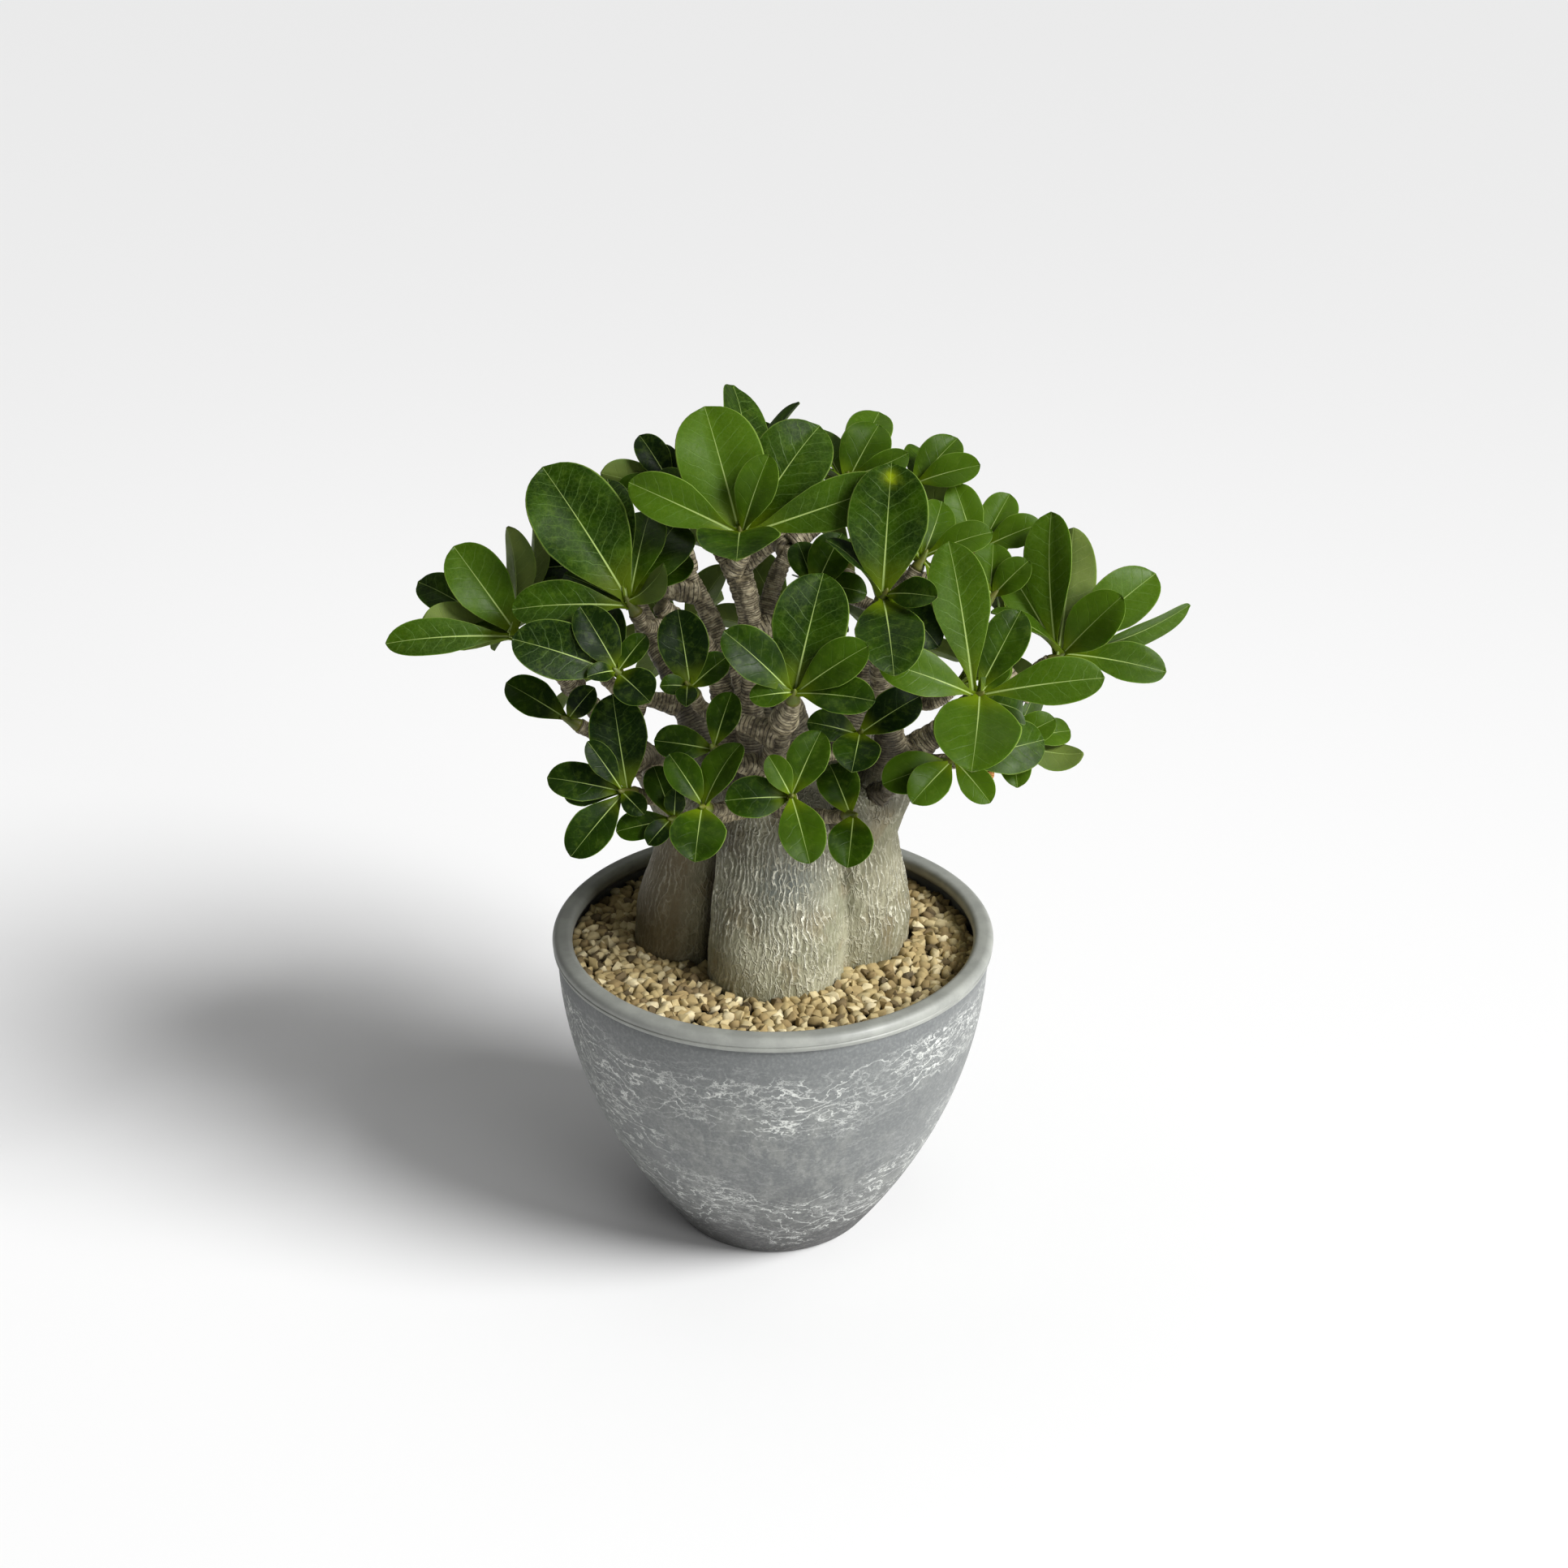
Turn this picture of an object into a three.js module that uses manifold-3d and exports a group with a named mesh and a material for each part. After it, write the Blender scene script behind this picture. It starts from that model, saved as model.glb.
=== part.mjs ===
// Potted desert rose: an old adenium with a fat lobed caudex in a round pot.
// Millimetres, +Z up. The origin is the centre of the pot's base. The front looks along -Y.
import * as THREE from 'three';
import { mergeVertices } from 'three/addons/utils/BufferGeometryUtils.js';
import Module from 'manifold-3d';

const wasm = await Module();
wasm.setup();

// ---------------------------------------------------------------- driving dimensions

const GAP = 0.35; // clearance between two pieces that touch

// Pot: a moulded bowl with a rolled rim.
const POT_SIDES = 28;
const POT_HEIGHT = 149;
const BASE_RADIUS = 46;
const WALL_TOP = 142; // where the bowl ends and the rim starts
const WALL_SWELL = 52; // how much wider the bowl is there than at its base
const WALL_THICKNESS = 3;
const FLOOR_THICKNESS = 4.5;
const RIM_RADIUS = 100;
const RIM_INNER_RADIUS = 91;
const DRAIN_RADIUS = 4.5;
const DRAIN_CIRCLE = 27;
const DRAIN_COUNT = 4;
const DRAIN_SIDES = 10;
const WALL_HEIGHTS = [24, 58, 98, 136]; // where the facets of the inner wall meet
const RIM_FOOT = 141; // where the wall's outside passes into the rim
const FLOOR_MARGIN = 9; // from the wall's outside to the flat of the floor
const RIM_SECTION = [ // radius and height, up the outside, over the crest and down the inside
  [RIM_RADIUS - 0.3, POT_HEIGHT - 6.5], [RIM_RADIUS, POT_HEIGHT - 2.8], [RIM_RADIUS - 2.4, POT_HEIGHT],
  [RIM_INNER_RADIUS + 2.4, POT_HEIGHT], [RIM_INNER_RADIUS, POT_HEIGHT - 2.6],
  [RIM_INNER_RADIUS + 0.4, POT_HEIGHT - 6], [RIM_INNER_RADIUS + 3.6, POT_HEIGHT - 7.6],
];

// Growing medium: potting mix with a layer of pumice gravel on it.
const MIX_TOP = 124;
const FILL_CLEARANCE = 1.5 * GAP; // between the filling and the wall's facets
const MIX_MARGIN = 11; // from the wall's outside to the flat of the filling's base
const GRAVEL_LEVEL = 134.5; // flat body of the layer, which the grains stand out of
const GRAIN_SPACING = 14.6;
const GRAIN_RADIUS = 6.6;
const GRAIN_SIDES = 4;
const GRAIN_ROOT = -3; // height of a grain's lowest point over the flat, of its waist and so on
const GRAIN_WAIST = -2;
const GRAIN_SHOULDER = 2.4;
const GRAIN_TOP = 4;
const GRAIN_SHOULDER_SHARE = 0.74; // radius there over that of the waist
const GRAIN_TILT = 1.2;
const GRAIN_UNEVENNESS = 0.24; // range of the radius, as a share of it
const GRAIN_OUTER_REACH = 86;
const GRAVEL_SEED = 31;

// Caudex: lobes around an upright axis, each from one crease to the next.
const CAUDEX_AXIS = [0, 12];
const CAUDEX_FOOT = 102;
const GRAVEL_TOP = 137;
const LOBES = [
  { from: -137, to: -44, crease: 32, reach: 60, top: 0.84 }, // front
  { from: -44, to: 44, crease: 43, reach: 62, top: 0.94 }, // right
  { from: 44, to: 92, crease: 40, reach: 50, top: 0.9 }, // back right
  { from: 92, to: 138, crease: 38, reach: 49, top: 0.9 }, // back left
  { from: 138, to: 223, crease: 36, reach: 64, top: 0.8 }, // left
];
const LOBE_STEPS = 5;
const LOBE_ROUNDNESS = 0.55; // power of the sine that a lobe follows; less is fuller
const LOBE_FADE = 0.35; // share of the lobes' swell that is gone at the crown
// Height, and the share of the lobes' full reach there.
const CAUDEX_RINGS = [
  [CAUDEX_FOOT, 0.55], [112, 0.86], [126, 0.97], [GRAVEL_TOP, 1], [153, 1.03],
  [171, 1.02], [190, 1], [206, 0.96], [217, 0.84], [225, 0.64],
];
const CAUDEX_CROWN = 230;
const HOLE_EASE = 1.015; // the hole that the caudex stands in, over its outline
const HOLE_DEPTH = 60;

// Limbs: points on each limb's centre line with its radius there.
const LIMBS = {
  front: [[-4, -8, 190, 17], [-7, -20, 222, 10], [-4, -35, 241, 5.8], [1, -46, 255, 5.2], [6, -60, 281, 4.2]],
  middle: [
    [-6, 8, 195, 18], [-8, -2, 232, 8.5], [-9, -9, 262, 4.8], [-8, -9, 295, 4.1], [-12, -10, 318, 3.9],
  ],
  middle_fork: [[-9, -9, 294, 3.8], [-14, -8, 313, 3.5], [-22, -4, 330, 3.3]],
  middle_back: [[10, 22, 195, 18], [8, 22, 240, 8], [-4, 10, 280, 4.2], [0, 15, 305, 3.8], [8, 22, 322, 3.6]],
  left: [[-34, 10, 190, 16], [-48, 6, 220, 9], [-56, -8, 236, 5.2], [-60, -30, 240, 4]],
  left_high: [[-18, 2, 205, 13], [-20, 0, 250, 6], [-27, 0, 282, 4.2], [-47, -10, 306, 4.2]],
  left_low: [[-44, 12, 205, 11], [-62, 6, 236, 5.4], [-80, 0, 258, 4.3], [-92, -6, 276, 3.7]],
  back_left: [[-20, 28, 195, 15], [-18, 28, 240, 7.2], [-24, 30, 276, 4.6], [-38, 38, 305, 3.9]],
  right: [[38, 6, 190, 18], [50, 4, 220, 11], [51, 0, 243, 6.2], [46, -8, 272, 4.6], [45, -22, 298, 4]],
  right_low: [[46, 8, 205, 13], [68, 2, 240, 6], [90, -4, 252, 4.6], [106, -2, 262, 4]],
  back_right: [[26, 34, 195, 15], [38, 38, 240, 7.8], [46, 36, 280, 5], [58, 38, 316, 4]],
  back: [[0, 44, 195, 13], [-4, 60, 236, 7.6], [-9, 72, 264, 5.2], [-14, 78, 295, 4]],
  back_low_left: [[-26, 42, 200, 11], [-42, 62, 236, 6.4], [-58, 78, 260, 4.4]],
  back_low_right: [[30, 46, 200, 11], [48, 64, 236, 6.4], [62, 80, 260, 4.4]],
};
const LIMB_SIDES = 6;
const LIMB_STEPS = 3;
const TWIG_SIDES = 4;
const TWIG_STEPS = 2;
const TWIG_START_RADIUS = 4.2;
const TWIG_END_RADIUS = 3;
const TWIG_FOOT_SHARE = 0.9; // radius of a twig's foot over that of the limb, where that is less
const TWIG_ELBOW = 0.4; // share of the span at which a twig sags, and by how much of the span
const TWIG_SAG = 0.06;
const TWIG_NECK = 0.25; // share of the span over which a twig points along its tip
const TWIG_EASE = 0.3; // how far the elbow is drawn to the neck
const TWIG_TAPER = 0.4; // share of the difference in radius that is left there
const TWIG_DROP = 12; // a twig starts at least this far under its tip, or it costs
const CLIMB_COST = 3; // each mm of that, over each mm of length
const SPOT_SPACING = 4; // between the spots that stand for the wood in the tests
const TWIG_END_LENGTH = 9; // the run of a twig that its own leaves may touch

// Leaves: obovate, arched along the midrib and folded up on both sides of it.
const LEAF_THICKNESS = 1.6;
const LEAF_ARCH = 0.07; // rise of the midrib over its length
const LEAF_FOLD = 0.2; // rise of an edge over its distance from the midrib
const LEAF_RATIOS = [0.4, 0.68]; // width over length of a narrow leaf and of a full one
const LEAF_WIDEST = [0.64, 0.56]; // share of the length at which each of them is widest
const WEDGE_POWER = [1.7, 0.95]; // their outline from the root to there, a power of a sine
const TIP_FULLNESS = 2.4; // the outline from there to the tip, a rounded arc
const TIP_ROUNDNESS = 0.52;
const STALK_SHARE = 0.13; // width of the stalk over that of the blade
// Shares of the length at which a leaf has a section: for leaves up to each length.
const LEAF_STATIONS = [
  { upTo: 23, shares: [0.4, 0.8] },
  { upTo: 58, shares: [0.27, 0.58, 0.86] },
  { upTo: Infinity, shares: [0.2, 0.42, 0.67, 0.88] },
];
const TIP_CORE_LENGTH = 12;
const TIP_CORE_SWELL = 0.6;
const CROWN_CENTRE = new THREE.Vector3(0, 10, 225);
const CROWN_LIFT = 30;

// Leafy tips that the front view shows. Each has its place and its leaves.
// A leaf has: turn, degrees counter-clockwise from the right as seen from the front;
// lean, degrees that it comes forward; length; width; and, where it isn't 0, its roll.
const VIEW_RISE = 22; // degrees above level that the front view looks from
const VIEW_FACING = new THREE.Vector3(0, -0.75, 0.65); // way that these leaves' upper faces look
const ROOT_SPREAD = 5; // run of the stem that the leaves' roots take up
const FRONT_TIPS = {
  top: { at: [-13, -12, 338], extra: 1, leaves: [
    [105, -5, 57, 36], [55, -8, 58, 33], [71, 18, 36, 17], [17, 5, 65, 21, 20],
    [154, 5, 50, 20, -20], [92, -30, 75, 26, 40], [-88, 72, 44, 34], [147, -30, 52, 16]] },
  centre: { at: [9, -70, 291], extra: 2, leaves: [
    [77, 0, 50, 30], [138, 5, 38, 20], [31, 10, 36, 18], [-12, 25, 34, 17], [185, 15, 18, 11]] },
  right: { at: [84, -50, 282], extra: 2, leaves: [
    [99, 0, 64, 24], [61, -5, 40, 19], [161, 12, 43, 20], [7, 8, 51, 20], [-100, 48, 44, 35],
    [45, -10, 18, 11]] },
  upper_right: { at: [46, -30, 318], extra: 2, leaves: [
    [87, -4, 55, 33], [-84, 48, 46, 28], [132, 0, 33, 16, 50], [-8, 35, 27, 14], [-48, 15, 31, 17]] },
  upper_left: { at: [-59, -20, 311], extra: 1, leaves: [
    [122, 0, 68, 38], [181, 8, 49, 21], [45, 25, 24, 15, 150], [156, -20, 33, 14],
    [80, -25, 44, 20], [58, -32, 50, 28], [33, -28, 44, 24], [101, -30, 54, 18]] },
  middle_left: { at: [-63, -40, 288], extra: 2, leaves: [
    [162, 5, 47, 25], [121, -5, 32, 18], [-41, 40, 23, 18], [52, 0, 19, 11], [200, 20, 14, 9]] },
  far_left: { at: [-107, -15, 294], extra: 0, leaves: [
    [127, 0, 48, 25], [168, 10, 41, 20, 160], [152, -15, 53, 18], [187, 0, 54, 17],
    [93, -5, 46, 20, 130], [82, -25, 54, 18, 125]] },
  far_right: { at: [124, 0, 280], extra: 0, leaves: [
    [93, 0, 62, 22, -30], [79, -28, 64, 24, 170], [120, -15, 48, 20], [41, -8, 55, 24],
    [46, 30, 38, 22], [26, -10, 59, 18, 70], [-4, 5, 44, 18], [145, 0, 38, 14, 50]] },
  lower_centre: { at: [8, -70, 246], extra: 0, leaves: [
    [182, 10, 27, 18], [66, 0, 29, 17], [120, 0, 19, 11], [-74, 30, 31, 19]] },
  lower_front_left: { at: [-28, -72, 242], extra: 0, leaves: [
    [122, 0, 26, 14], [61, -5, 30, 18, -30], [-96, 45, 28, 23]] },
  lower_left: { at: [-61, -55, 241], extra: 1, leaves: [
    [94, -5, 41, 24], [170, 5, 33, 17], [224, 15, 35, 18], [125, 10, 26, 11], [-45, 20, 14, 10]] },
  low_left_small: { at: [-41, -60, 231], extra: 0, leaves: [
    [192, 10, 25, 13], [85, 15, 13, 9], [119, -8, 24, 14], [230, 20, 15, 10]] },
  inner_left: { at: [-34, -45, 284], extra: 0, leaves: [
    [98, 0, 33, 21], [39, -5, 20, 13], [180, 15, 12, 9], [-90, 40, 12, 9]] },
  inner_front: { at: [-24, -55, 261], extra: 0, leaves: [
    [166, 5, 25, 15], [68, 0, 24, 14], [-60, 30, 12, 8]] },
  left_behind: { at: [-88, -10, 254], extra: 0, leaves: [
    [150, 0, 33, 17], [62, 0, 19, 12]] },
  inner_right: { at: [36, -45, 263], extra: 0, leaves: [
    [32, -5, 31, 18], [166, 10, 22, 14], [-103, 50, 24, 20]] },
  low_right: { at: [34, -50, 228], extra: 0, leaves: [
    [100, -10, 24, 18], [-97, 35, 25, 19]] },
  right_middle: { at: [76, -35, 246], extra: 1, leaves: [
    [198, 15, 30, 19], [225, 25, 28, 17], [-50, 20, 24, 14]] },
  right_behind: { at: [103, -10, 243], extra: 1, leaves: [
    [27, 0, 24, 14], [-9, -5, 33, 15, 160], [-86, 35, 22, 14], [8, -30, 29, 13]] },
  behind_top_right: { at: [32, 35, 347], extra: 2, leaves: [
    [61, -10, 31, 22], [65, -35, 44, 20], [165, 10, 22, 16, 60], [37, -10, 28, 14, 50]] },
  behind_upper_right: { at: [61, 45, 341], extra: 2, leaves: [
    [50, -10, 32, 18], [-57, 10, 30, 14], [-80, 10, 30, 16], [10, 0, 30, 16]] },
  inner_upper_right: { at: [18, -5, 313], extra: 1, leaves: [
    [65, -5, 27, 18], [110, -20, 22, 14], [-10, 0, 22, 14]] },
  high_right_back: { at: [90, 30, 317], extra: 2, leaves: [
    [114, -5, 32, 17], [60, -15, 30, 16], [20, 0, 28, 15]] },
  inner_high_right: { at: [64, 6, 322], extra: 2, leaves: [
    [110, 0, 34, 17], [-55, 10, 28, 14], [20, 10, 30, 15]] },
  high_right: { at: [94, 5, 305], extra: 1, leaves: [
    [85, 0, 24, 18], [43, 0, 22, 14], [150, -5, 22, 13]] },
  behind_top_left: { at: [-43, 40, 342], extra: 2, leaves: [
    [165, 5, 33, 17, 150], [121, 0, 28, 14], [101, -5, 20, 12], [178, -15, 24, 13]] },
  behind_left: { at: [-76, 20, 314], extra: 2, leaves: [
    [130, -10, 30, 17], [170, 0, 30, 15], [60, -20, 30, 16]] },
};

// Leafy tips round the back, in tiers that finish the crown where the front view doesn't reach.
// Bearings are degrees counter-clockwise from +X, seen from above.
const BACK_TIERS = [
  { height: 248, reach: 94, bearings: [22, 54, 86, 118, 150], leaves: 5 },
  { height: 284, reach: 104, bearings: [10, 38, 69, 100, 131, 163], leaves: 6 },
  { height: 320, reach: 70, bearings: [46, 82, 118], leaves: 7 },
  { height: 338, reach: 34, bearings: [104], leaves: 6 },
];
const BACK_CENTRE = [0, 14];
const BACK_LEAF_LENGTH = [30, 48];
const BACK_LEAF_RATIO = 0.5; // width over length
const GOLDEN_ANGLE = 137.508;
const BACK_RISE = [12, 52]; // degrees that the leaves stand over square to their stem
const BEHIND_RISE = [-10, 35]; // and for those behind the leaves of a front tip
const BEHIND_LEAST = 0.2; // how much these point to the back
const LEAST_APART = 38; // degrees
const SPIRAL_TURNS = 36; // places tried
const SPIRAL_START = -3;
const SPIRAL_PITCH = 1.5;
const LEAF_SEED = 13;

// Clearing: a leaf that would cross another is turned aside a little, or is shorter.
const LEAF_CLEARANCE = 2.6;
const SISTER_CLEARANCE = 1.2; // between two leaves of one tip
const SISTER_ROOTS = 0.45; // share of the length over which these may run into each other
const EDGE_CLEARANCE = 1.4;
const TURN_ASIDE = [0, 7, 14, 21, 28, 36, 44];
const ASIDE_WAYS = 8;
const SHORTER = [1, 0.86, 0.72];
const OUTLINE_STEPS = 16;

// ---------------------------------------------------------------- helpers

const radians = THREE.MathUtils.degToRad;

/** A seeded random number source, so that every run gives the same plant. */
function makeRandom(seed) {
  let state = seed;
  return () => {
    state = (state * 16807) % 2147483647;
    return state / 2147483647;
  };
}

function vector(x, y, z) {
  return new THREE.Vector3(x, y, z);
}

/** Closed skin over rings of equal length, between a first and a last point. */
function loft(first, rings, last) {
  const count = rings[0].length;
  const points = [first, ...rings.flat(), last];
  const faces = [];
  const at = (ring, k) => 1 + ring * count + (k % count);
  for (let k = 0; k < count; k += 1) {
    faces.push(0, at(0, k + 1), at(0, k));
    for (let ring = 0; ring + 1 < rings.length; ring += 1) {
      faces.push(at(ring, k), at(ring, k + 1), at(ring + 1, k + 1));
      faces.push(at(ring, k), at(ring + 1, k + 1), at(ring + 1, k));
    }
    faces.push(at(rings.length - 1, k), at(rings.length - 1, k + 1), points.length - 1);
  }
  const geometry = new THREE.BufferGeometry();
  const positions = points.flatMap((p) => [p.x, p.y, p.z]);
  geometry.setAttribute('position', new THREE.Float32BufferAttribute(positions, 3));
  geometry.setIndex(faces);
  return geometry;
}

/** The solid inside a closed geometry, ready to be joined or cut. */
function solid(geometry) {
  const bare = geometry.clone();
  bare.deleteAttribute('normal');
  bare.deleteAttribute('uv');
  const merged = mergeVertices(bare, 1e-4);
  const mesh = new wasm.Mesh({
    numProp: 3,
    vertProperties: new Float32Array(merged.attributes.position.array),
    triVerts: new Uint32Array(merged.index.array),
  });
  return new wasm.Manifold(mesh);
}

/** Joins solids into one and cuts others out; sealed hollows are filled and loose scraps go. */
function joined(solids, cutters = []) {
  const sum = solids.reduce((all, next) => all.add(next));
  const whole = cutters.reduce((rest, cutter) => rest.subtract(cutter), sum);
  return whole.decompose().reduce((best, next) => (next.volume() > best.volume() ? next : best));
}

/** A named mesh of a solid. */
function piece(name, shape, material) {
  const mesh = shape.getMesh();
  const geometry = new THREE.BufferGeometry();
  geometry.setAttribute('position', new THREE.Float32BufferAttribute(mesh.vertProperties, 3));
  geometry.setIndex(Array.from(mesh.triVerts));
  geometry.computeVertexNormals();
  const result = new THREE.Mesh(geometry, material);
  result.name = name;
  return result;
}

/** Tapered tube along points that carry their own radius in w. */
function taperedTube(points, sides, steps) {
  const curve = new THREE.CatmullRomCurve3(points.map((p) => vector(p.x, p.y, p.z)));
  const frames = curve.computeFrenetFrames(steps, false);
  const rings = [];
  for (let step = 0; step <= steps; step += 1) {
    const along = (step / steps) * (points.length - 1);
    const low = Math.min(Math.floor(along), points.length - 2);
    const radius = THREE.MathUtils.lerp(points[low].w, points[low + 1].w, along - low);
    const centre = curve.getPoint(step / steps);
    const ring = [];
    for (let side = 0; side < sides; side += 1) {
      const angle = (2 * Math.PI * side) / sides;
      const out = frames.normals[step].clone().multiplyScalar(Math.cos(angle));
      out.addScaledVector(frames.binormals[step], Math.sin(angle));
      ring.push(centre.clone().addScaledVector(out, radius));
    }
    rings.push(ring);
  }
  return loft(curve.getPoint(0), rings, curve.getPoint(1));
}

// ---------------------------------------------------------------- pot

/** Outer radius of the bowl at a height. */
function bowlRadius(height) {
  return BASE_RADIUS + WALL_SWELL * (1 - (1 - height / WALL_TOP) ** 2);
}

function lathe(profile) {
  const geometry = new THREE.LatheGeometry(profile.map(([r, z]) => new THREE.Vector2(r, z)), POT_SIDES);
  return geometry.rotateX(Math.PI / 2);
}

function makePot() {
  const outer = [0, ...WALL_HEIGHTS.slice(0, 3), RIM_FOOT].map((z) => [bowlRadius(z), z]);
  const inner = [...WALL_HEIGHTS].reverse().map((z) => [bowlRadius(z) - WALL_THICKNESS, z]);
  const floor = [[bowlRadius(FLOOR_THICKNESS) - FLOOR_MARGIN, FLOOR_THICKNESS], [0, FLOOR_THICKNESS]];
  let bowl = solid(lathe([[0, 0], ...outer, ...RIM_SECTION, ...inner, ...floor]));
  for (let hole = 0; hole < DRAIN_COUNT; hole += 1) {
    const angle = ((hole + 0.5) / DRAIN_COUNT) * 2 * Math.PI;
    const drill = new THREE.CylinderGeometry(DRAIN_RADIUS, DRAIN_RADIUS, 4 * FLOOR_THICKNESS, DRAIN_SIDES);
    drill.rotateX(Math.PI / 2);
    drill.translate(DRAIN_CIRCLE * Math.cos(angle), DRAIN_CIRCLE * Math.sin(angle), 0);
    bowl = bowl.subtract(solid(drill));
  }
  return bowl;
}

// ---------------------------------------------------------------- caudex

/** Directions and full reach of the caudex's outline, lobe by lobe. */
function caudexOutline() {
  const outline = [];
  LOBES.forEach((lobe, index) => {
    const next = LOBES[(index + 1) % LOBES.length];
    for (let step = 0; step < LOBE_STEPS; step += 1) {
      const share = step / LOBE_STEPS;
      const crease = THREE.MathUtils.lerp(lobe.crease, next.crease, share);
      const swell = Math.sin(Math.PI * share) ** LOBE_ROUNDNESS;
      const angle = radians(THREE.MathUtils.lerp(lobe.from, lobe.to, share));
      outline.push({ angle, crease, reach: THREE.MathUtils.lerp(crease, lobe.reach, swell), top: lobe.top });
    }
  });
  return outline;
}

/** One ring of the caudex at a height, with its lobes drawn in as they rise. */
function caudexRing(height, share) {
  const rise = THREE.MathUtils.clamp((height - GRAVEL_TOP) / (CAUDEX_CROWN - GRAVEL_TOP), 0, 1);
  return caudexOutline().map((spot) => {
    const lean = THREE.MathUtils.lerp(1, spot.top, rise);
    const radius = share * (spot.crease + (spot.reach - spot.crease) * (1 - LOBE_FADE * rise)) * lean;
    const [x, y] = CAUDEX_AXIS;
    return vector(x + radius * Math.cos(spot.angle), y + radius * Math.sin(spot.angle), height);
  });
}

function makeCaudexBody() {
  const rings = CAUDEX_RINGS.map(([height, share]) => caudexRing(height, share));
  const [x, y] = CAUDEX_AXIS;
  return solid(loft(vector(x, y, CAUDEX_FOOT), rings, vector(x, y, CAUDEX_CROWN)));
}

/** Plain upright hole that the foot of the caudex stands in, with a gap all round. */
function makeFootHole() {
  const ring = caudexRing(GRAVEL_TOP, HOLE_EASE).map((p) => {
    const out = vector(p.x - CAUDEX_AXIS[0], p.y - CAUDEX_AXIS[1], 0).setLength(2 * GAP);
    return new THREE.Vector2(p.x + out.x, p.y + out.y);
  });
  const hole = new THREE.ExtrudeGeometry(new THREE.Shape(ring), { depth: HOLE_DEPTH, bevelEnabled: false });
  hole.translate(0, 0, CAUDEX_FOOT - GAP);
  return solid(hole);
}

// ---------------------------------------------------------------- potting mix and gravel

/** Radius of the filling at a height, clear of the facets of the pot's wall. */
function fillRadius(height) {
  const next = Math.max(WALL_HEIGHTS.findIndex((z) => z >= height), 1);
  const [low, high] = [WALL_HEIGHTS[next - 1], WALL_HEIGHTS[next]];
  const share = (height - low) / (high - low);
  return THREE.MathUtils.lerp(bowlRadius(low), bowlRadius(high), share) - WALL_THICKNESS - FILL_CLEARANCE;
}

function makePottingMix(hole) {
  const bottom = FLOOR_THICKNESS + GAP;
  const side = [...WALL_HEIGHTS.slice(0, 3), MIX_TOP].map((z) => [fillRadius(z), z]);
  const profile = [[0, bottom], [bowlRadius(bottom) - MIX_MARGIN, bottom], ...side, [0, MIX_TOP]];
  return solid(lathe(profile)).subtract(hole);
}

/** One angular grain, standing out of the layer. */
function makeGrain(x, y, random) {
  const turn = 2 * Math.PI * random();
  const tilt = GRAIN_TILT * (random() - 0.5);
  const ring = (height, radius) => Array.from({ length: GRAIN_SIDES }, (unused, k) => {
    const angle = turn + (2 * Math.PI * (k + GRAIN_UNEVENNESS * random())) / GRAIN_SIDES;
    const reach = radius * (1 + GRAIN_UNEVENNESS * (random() - 0.5));
    const rise = height + tilt * Math.cos(angle);
    return vector(x + reach * Math.cos(angle), y + reach * Math.sin(angle), GRAVEL_LEVEL + rise);
  });
  const rings = [ring(GRAIN_WAIST, GRAIN_RADIUS), ring(GRAIN_SHOULDER, GRAIN_SHOULDER_SHARE * GRAIN_RADIUS)];
  const [low, high] = [GRAIN_ROOT, GRAIN_TOP].map((height) => vector(x, y, GRAVEL_LEVEL + height));
  return solid(loft(low, rings, high));
}

function makeGravel(hole) {
  const random = makeRandom(GRAVEL_SEED);
  const bottom = MIX_TOP + GAP;
  const side = [bottom, GRAVEL_LEVEL].map((z) => [fillRadius(z), z]);
  const layer = solid(lathe([[0, bottom], ...side, [0, GRAVEL_LEVEL]]));
  const grains = [];
  const growth = GRAIN_SPACING * Math.sqrt(Math.sqrt(3) / (2 * Math.PI));
  for (let index = 0; growth * Math.sqrt(index) < GRAIN_OUTER_REACH; index += 1) {
    const angle = radians(GOLDEN_ANGLE * index);
    const reach = growth * Math.sqrt(index + 0.5);
    grains.push(makeGrain(reach * Math.cos(angle), reach * Math.sin(angle), random));
  }
  return joined([layer, ...grains], [hole]);
}

// ---------------------------------------------------------------- leafy tips

/** The direction in which a tip grows: outward from the crown and upward. */
function tipAxis(place) {
  const axis = place.clone().sub(CROWN_CENTRE);
  axis.z += CROWN_LIFT;
  return axis.normalize();
}

/** A leaf: its root, the way it points, the way its upper face looks, and its size. */
function makeLeaf(root, along, facing, length, width, roll = 0) {
  const up = facing.clone().addScaledVector(along, -facing.dot(along)).normalize();
  up.applyAxisAngle(along, radians(roll));
  return { root, along, up, side: up.clone().cross(along), length, width };
}

/** Half the width of a leaf at a share of its length. */
function halfWidth(leaf, share) {
  const inside = THREE.MathUtils.clamp(share, 0, 1);
  const fullness = THREE.MathUtils.smoothstep(leaf.width / leaf.length, ...LEAF_RATIOS);
  const widest = THREE.MathUtils.lerp(...LEAF_WIDEST, fullness);
  const power = THREE.MathUtils.lerp(...WEDGE_POWER, fullness);
  const wedge = Math.sin((Math.PI / 2) * Math.min(inside / widest, 1)) ** power;
  const beyond = Math.max((inside - widest) / (1 - widest), 0);
  const round = (1 - beyond ** TIP_FULLNESS) ** TIP_ROUNDNESS;
  return (leaf.width / 2) * Math.max(wedge * round, STALK_SHARE * (1 - inside));
}

/** Height of the leaf's upper face over its straight line from root to tip. */
function faceHeight(leaf, share, across) {
  return 4 * LEAF_ARCH * leaf.length * share * (1 - share) + LEAF_FOLD * Math.abs(across);
}

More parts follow.
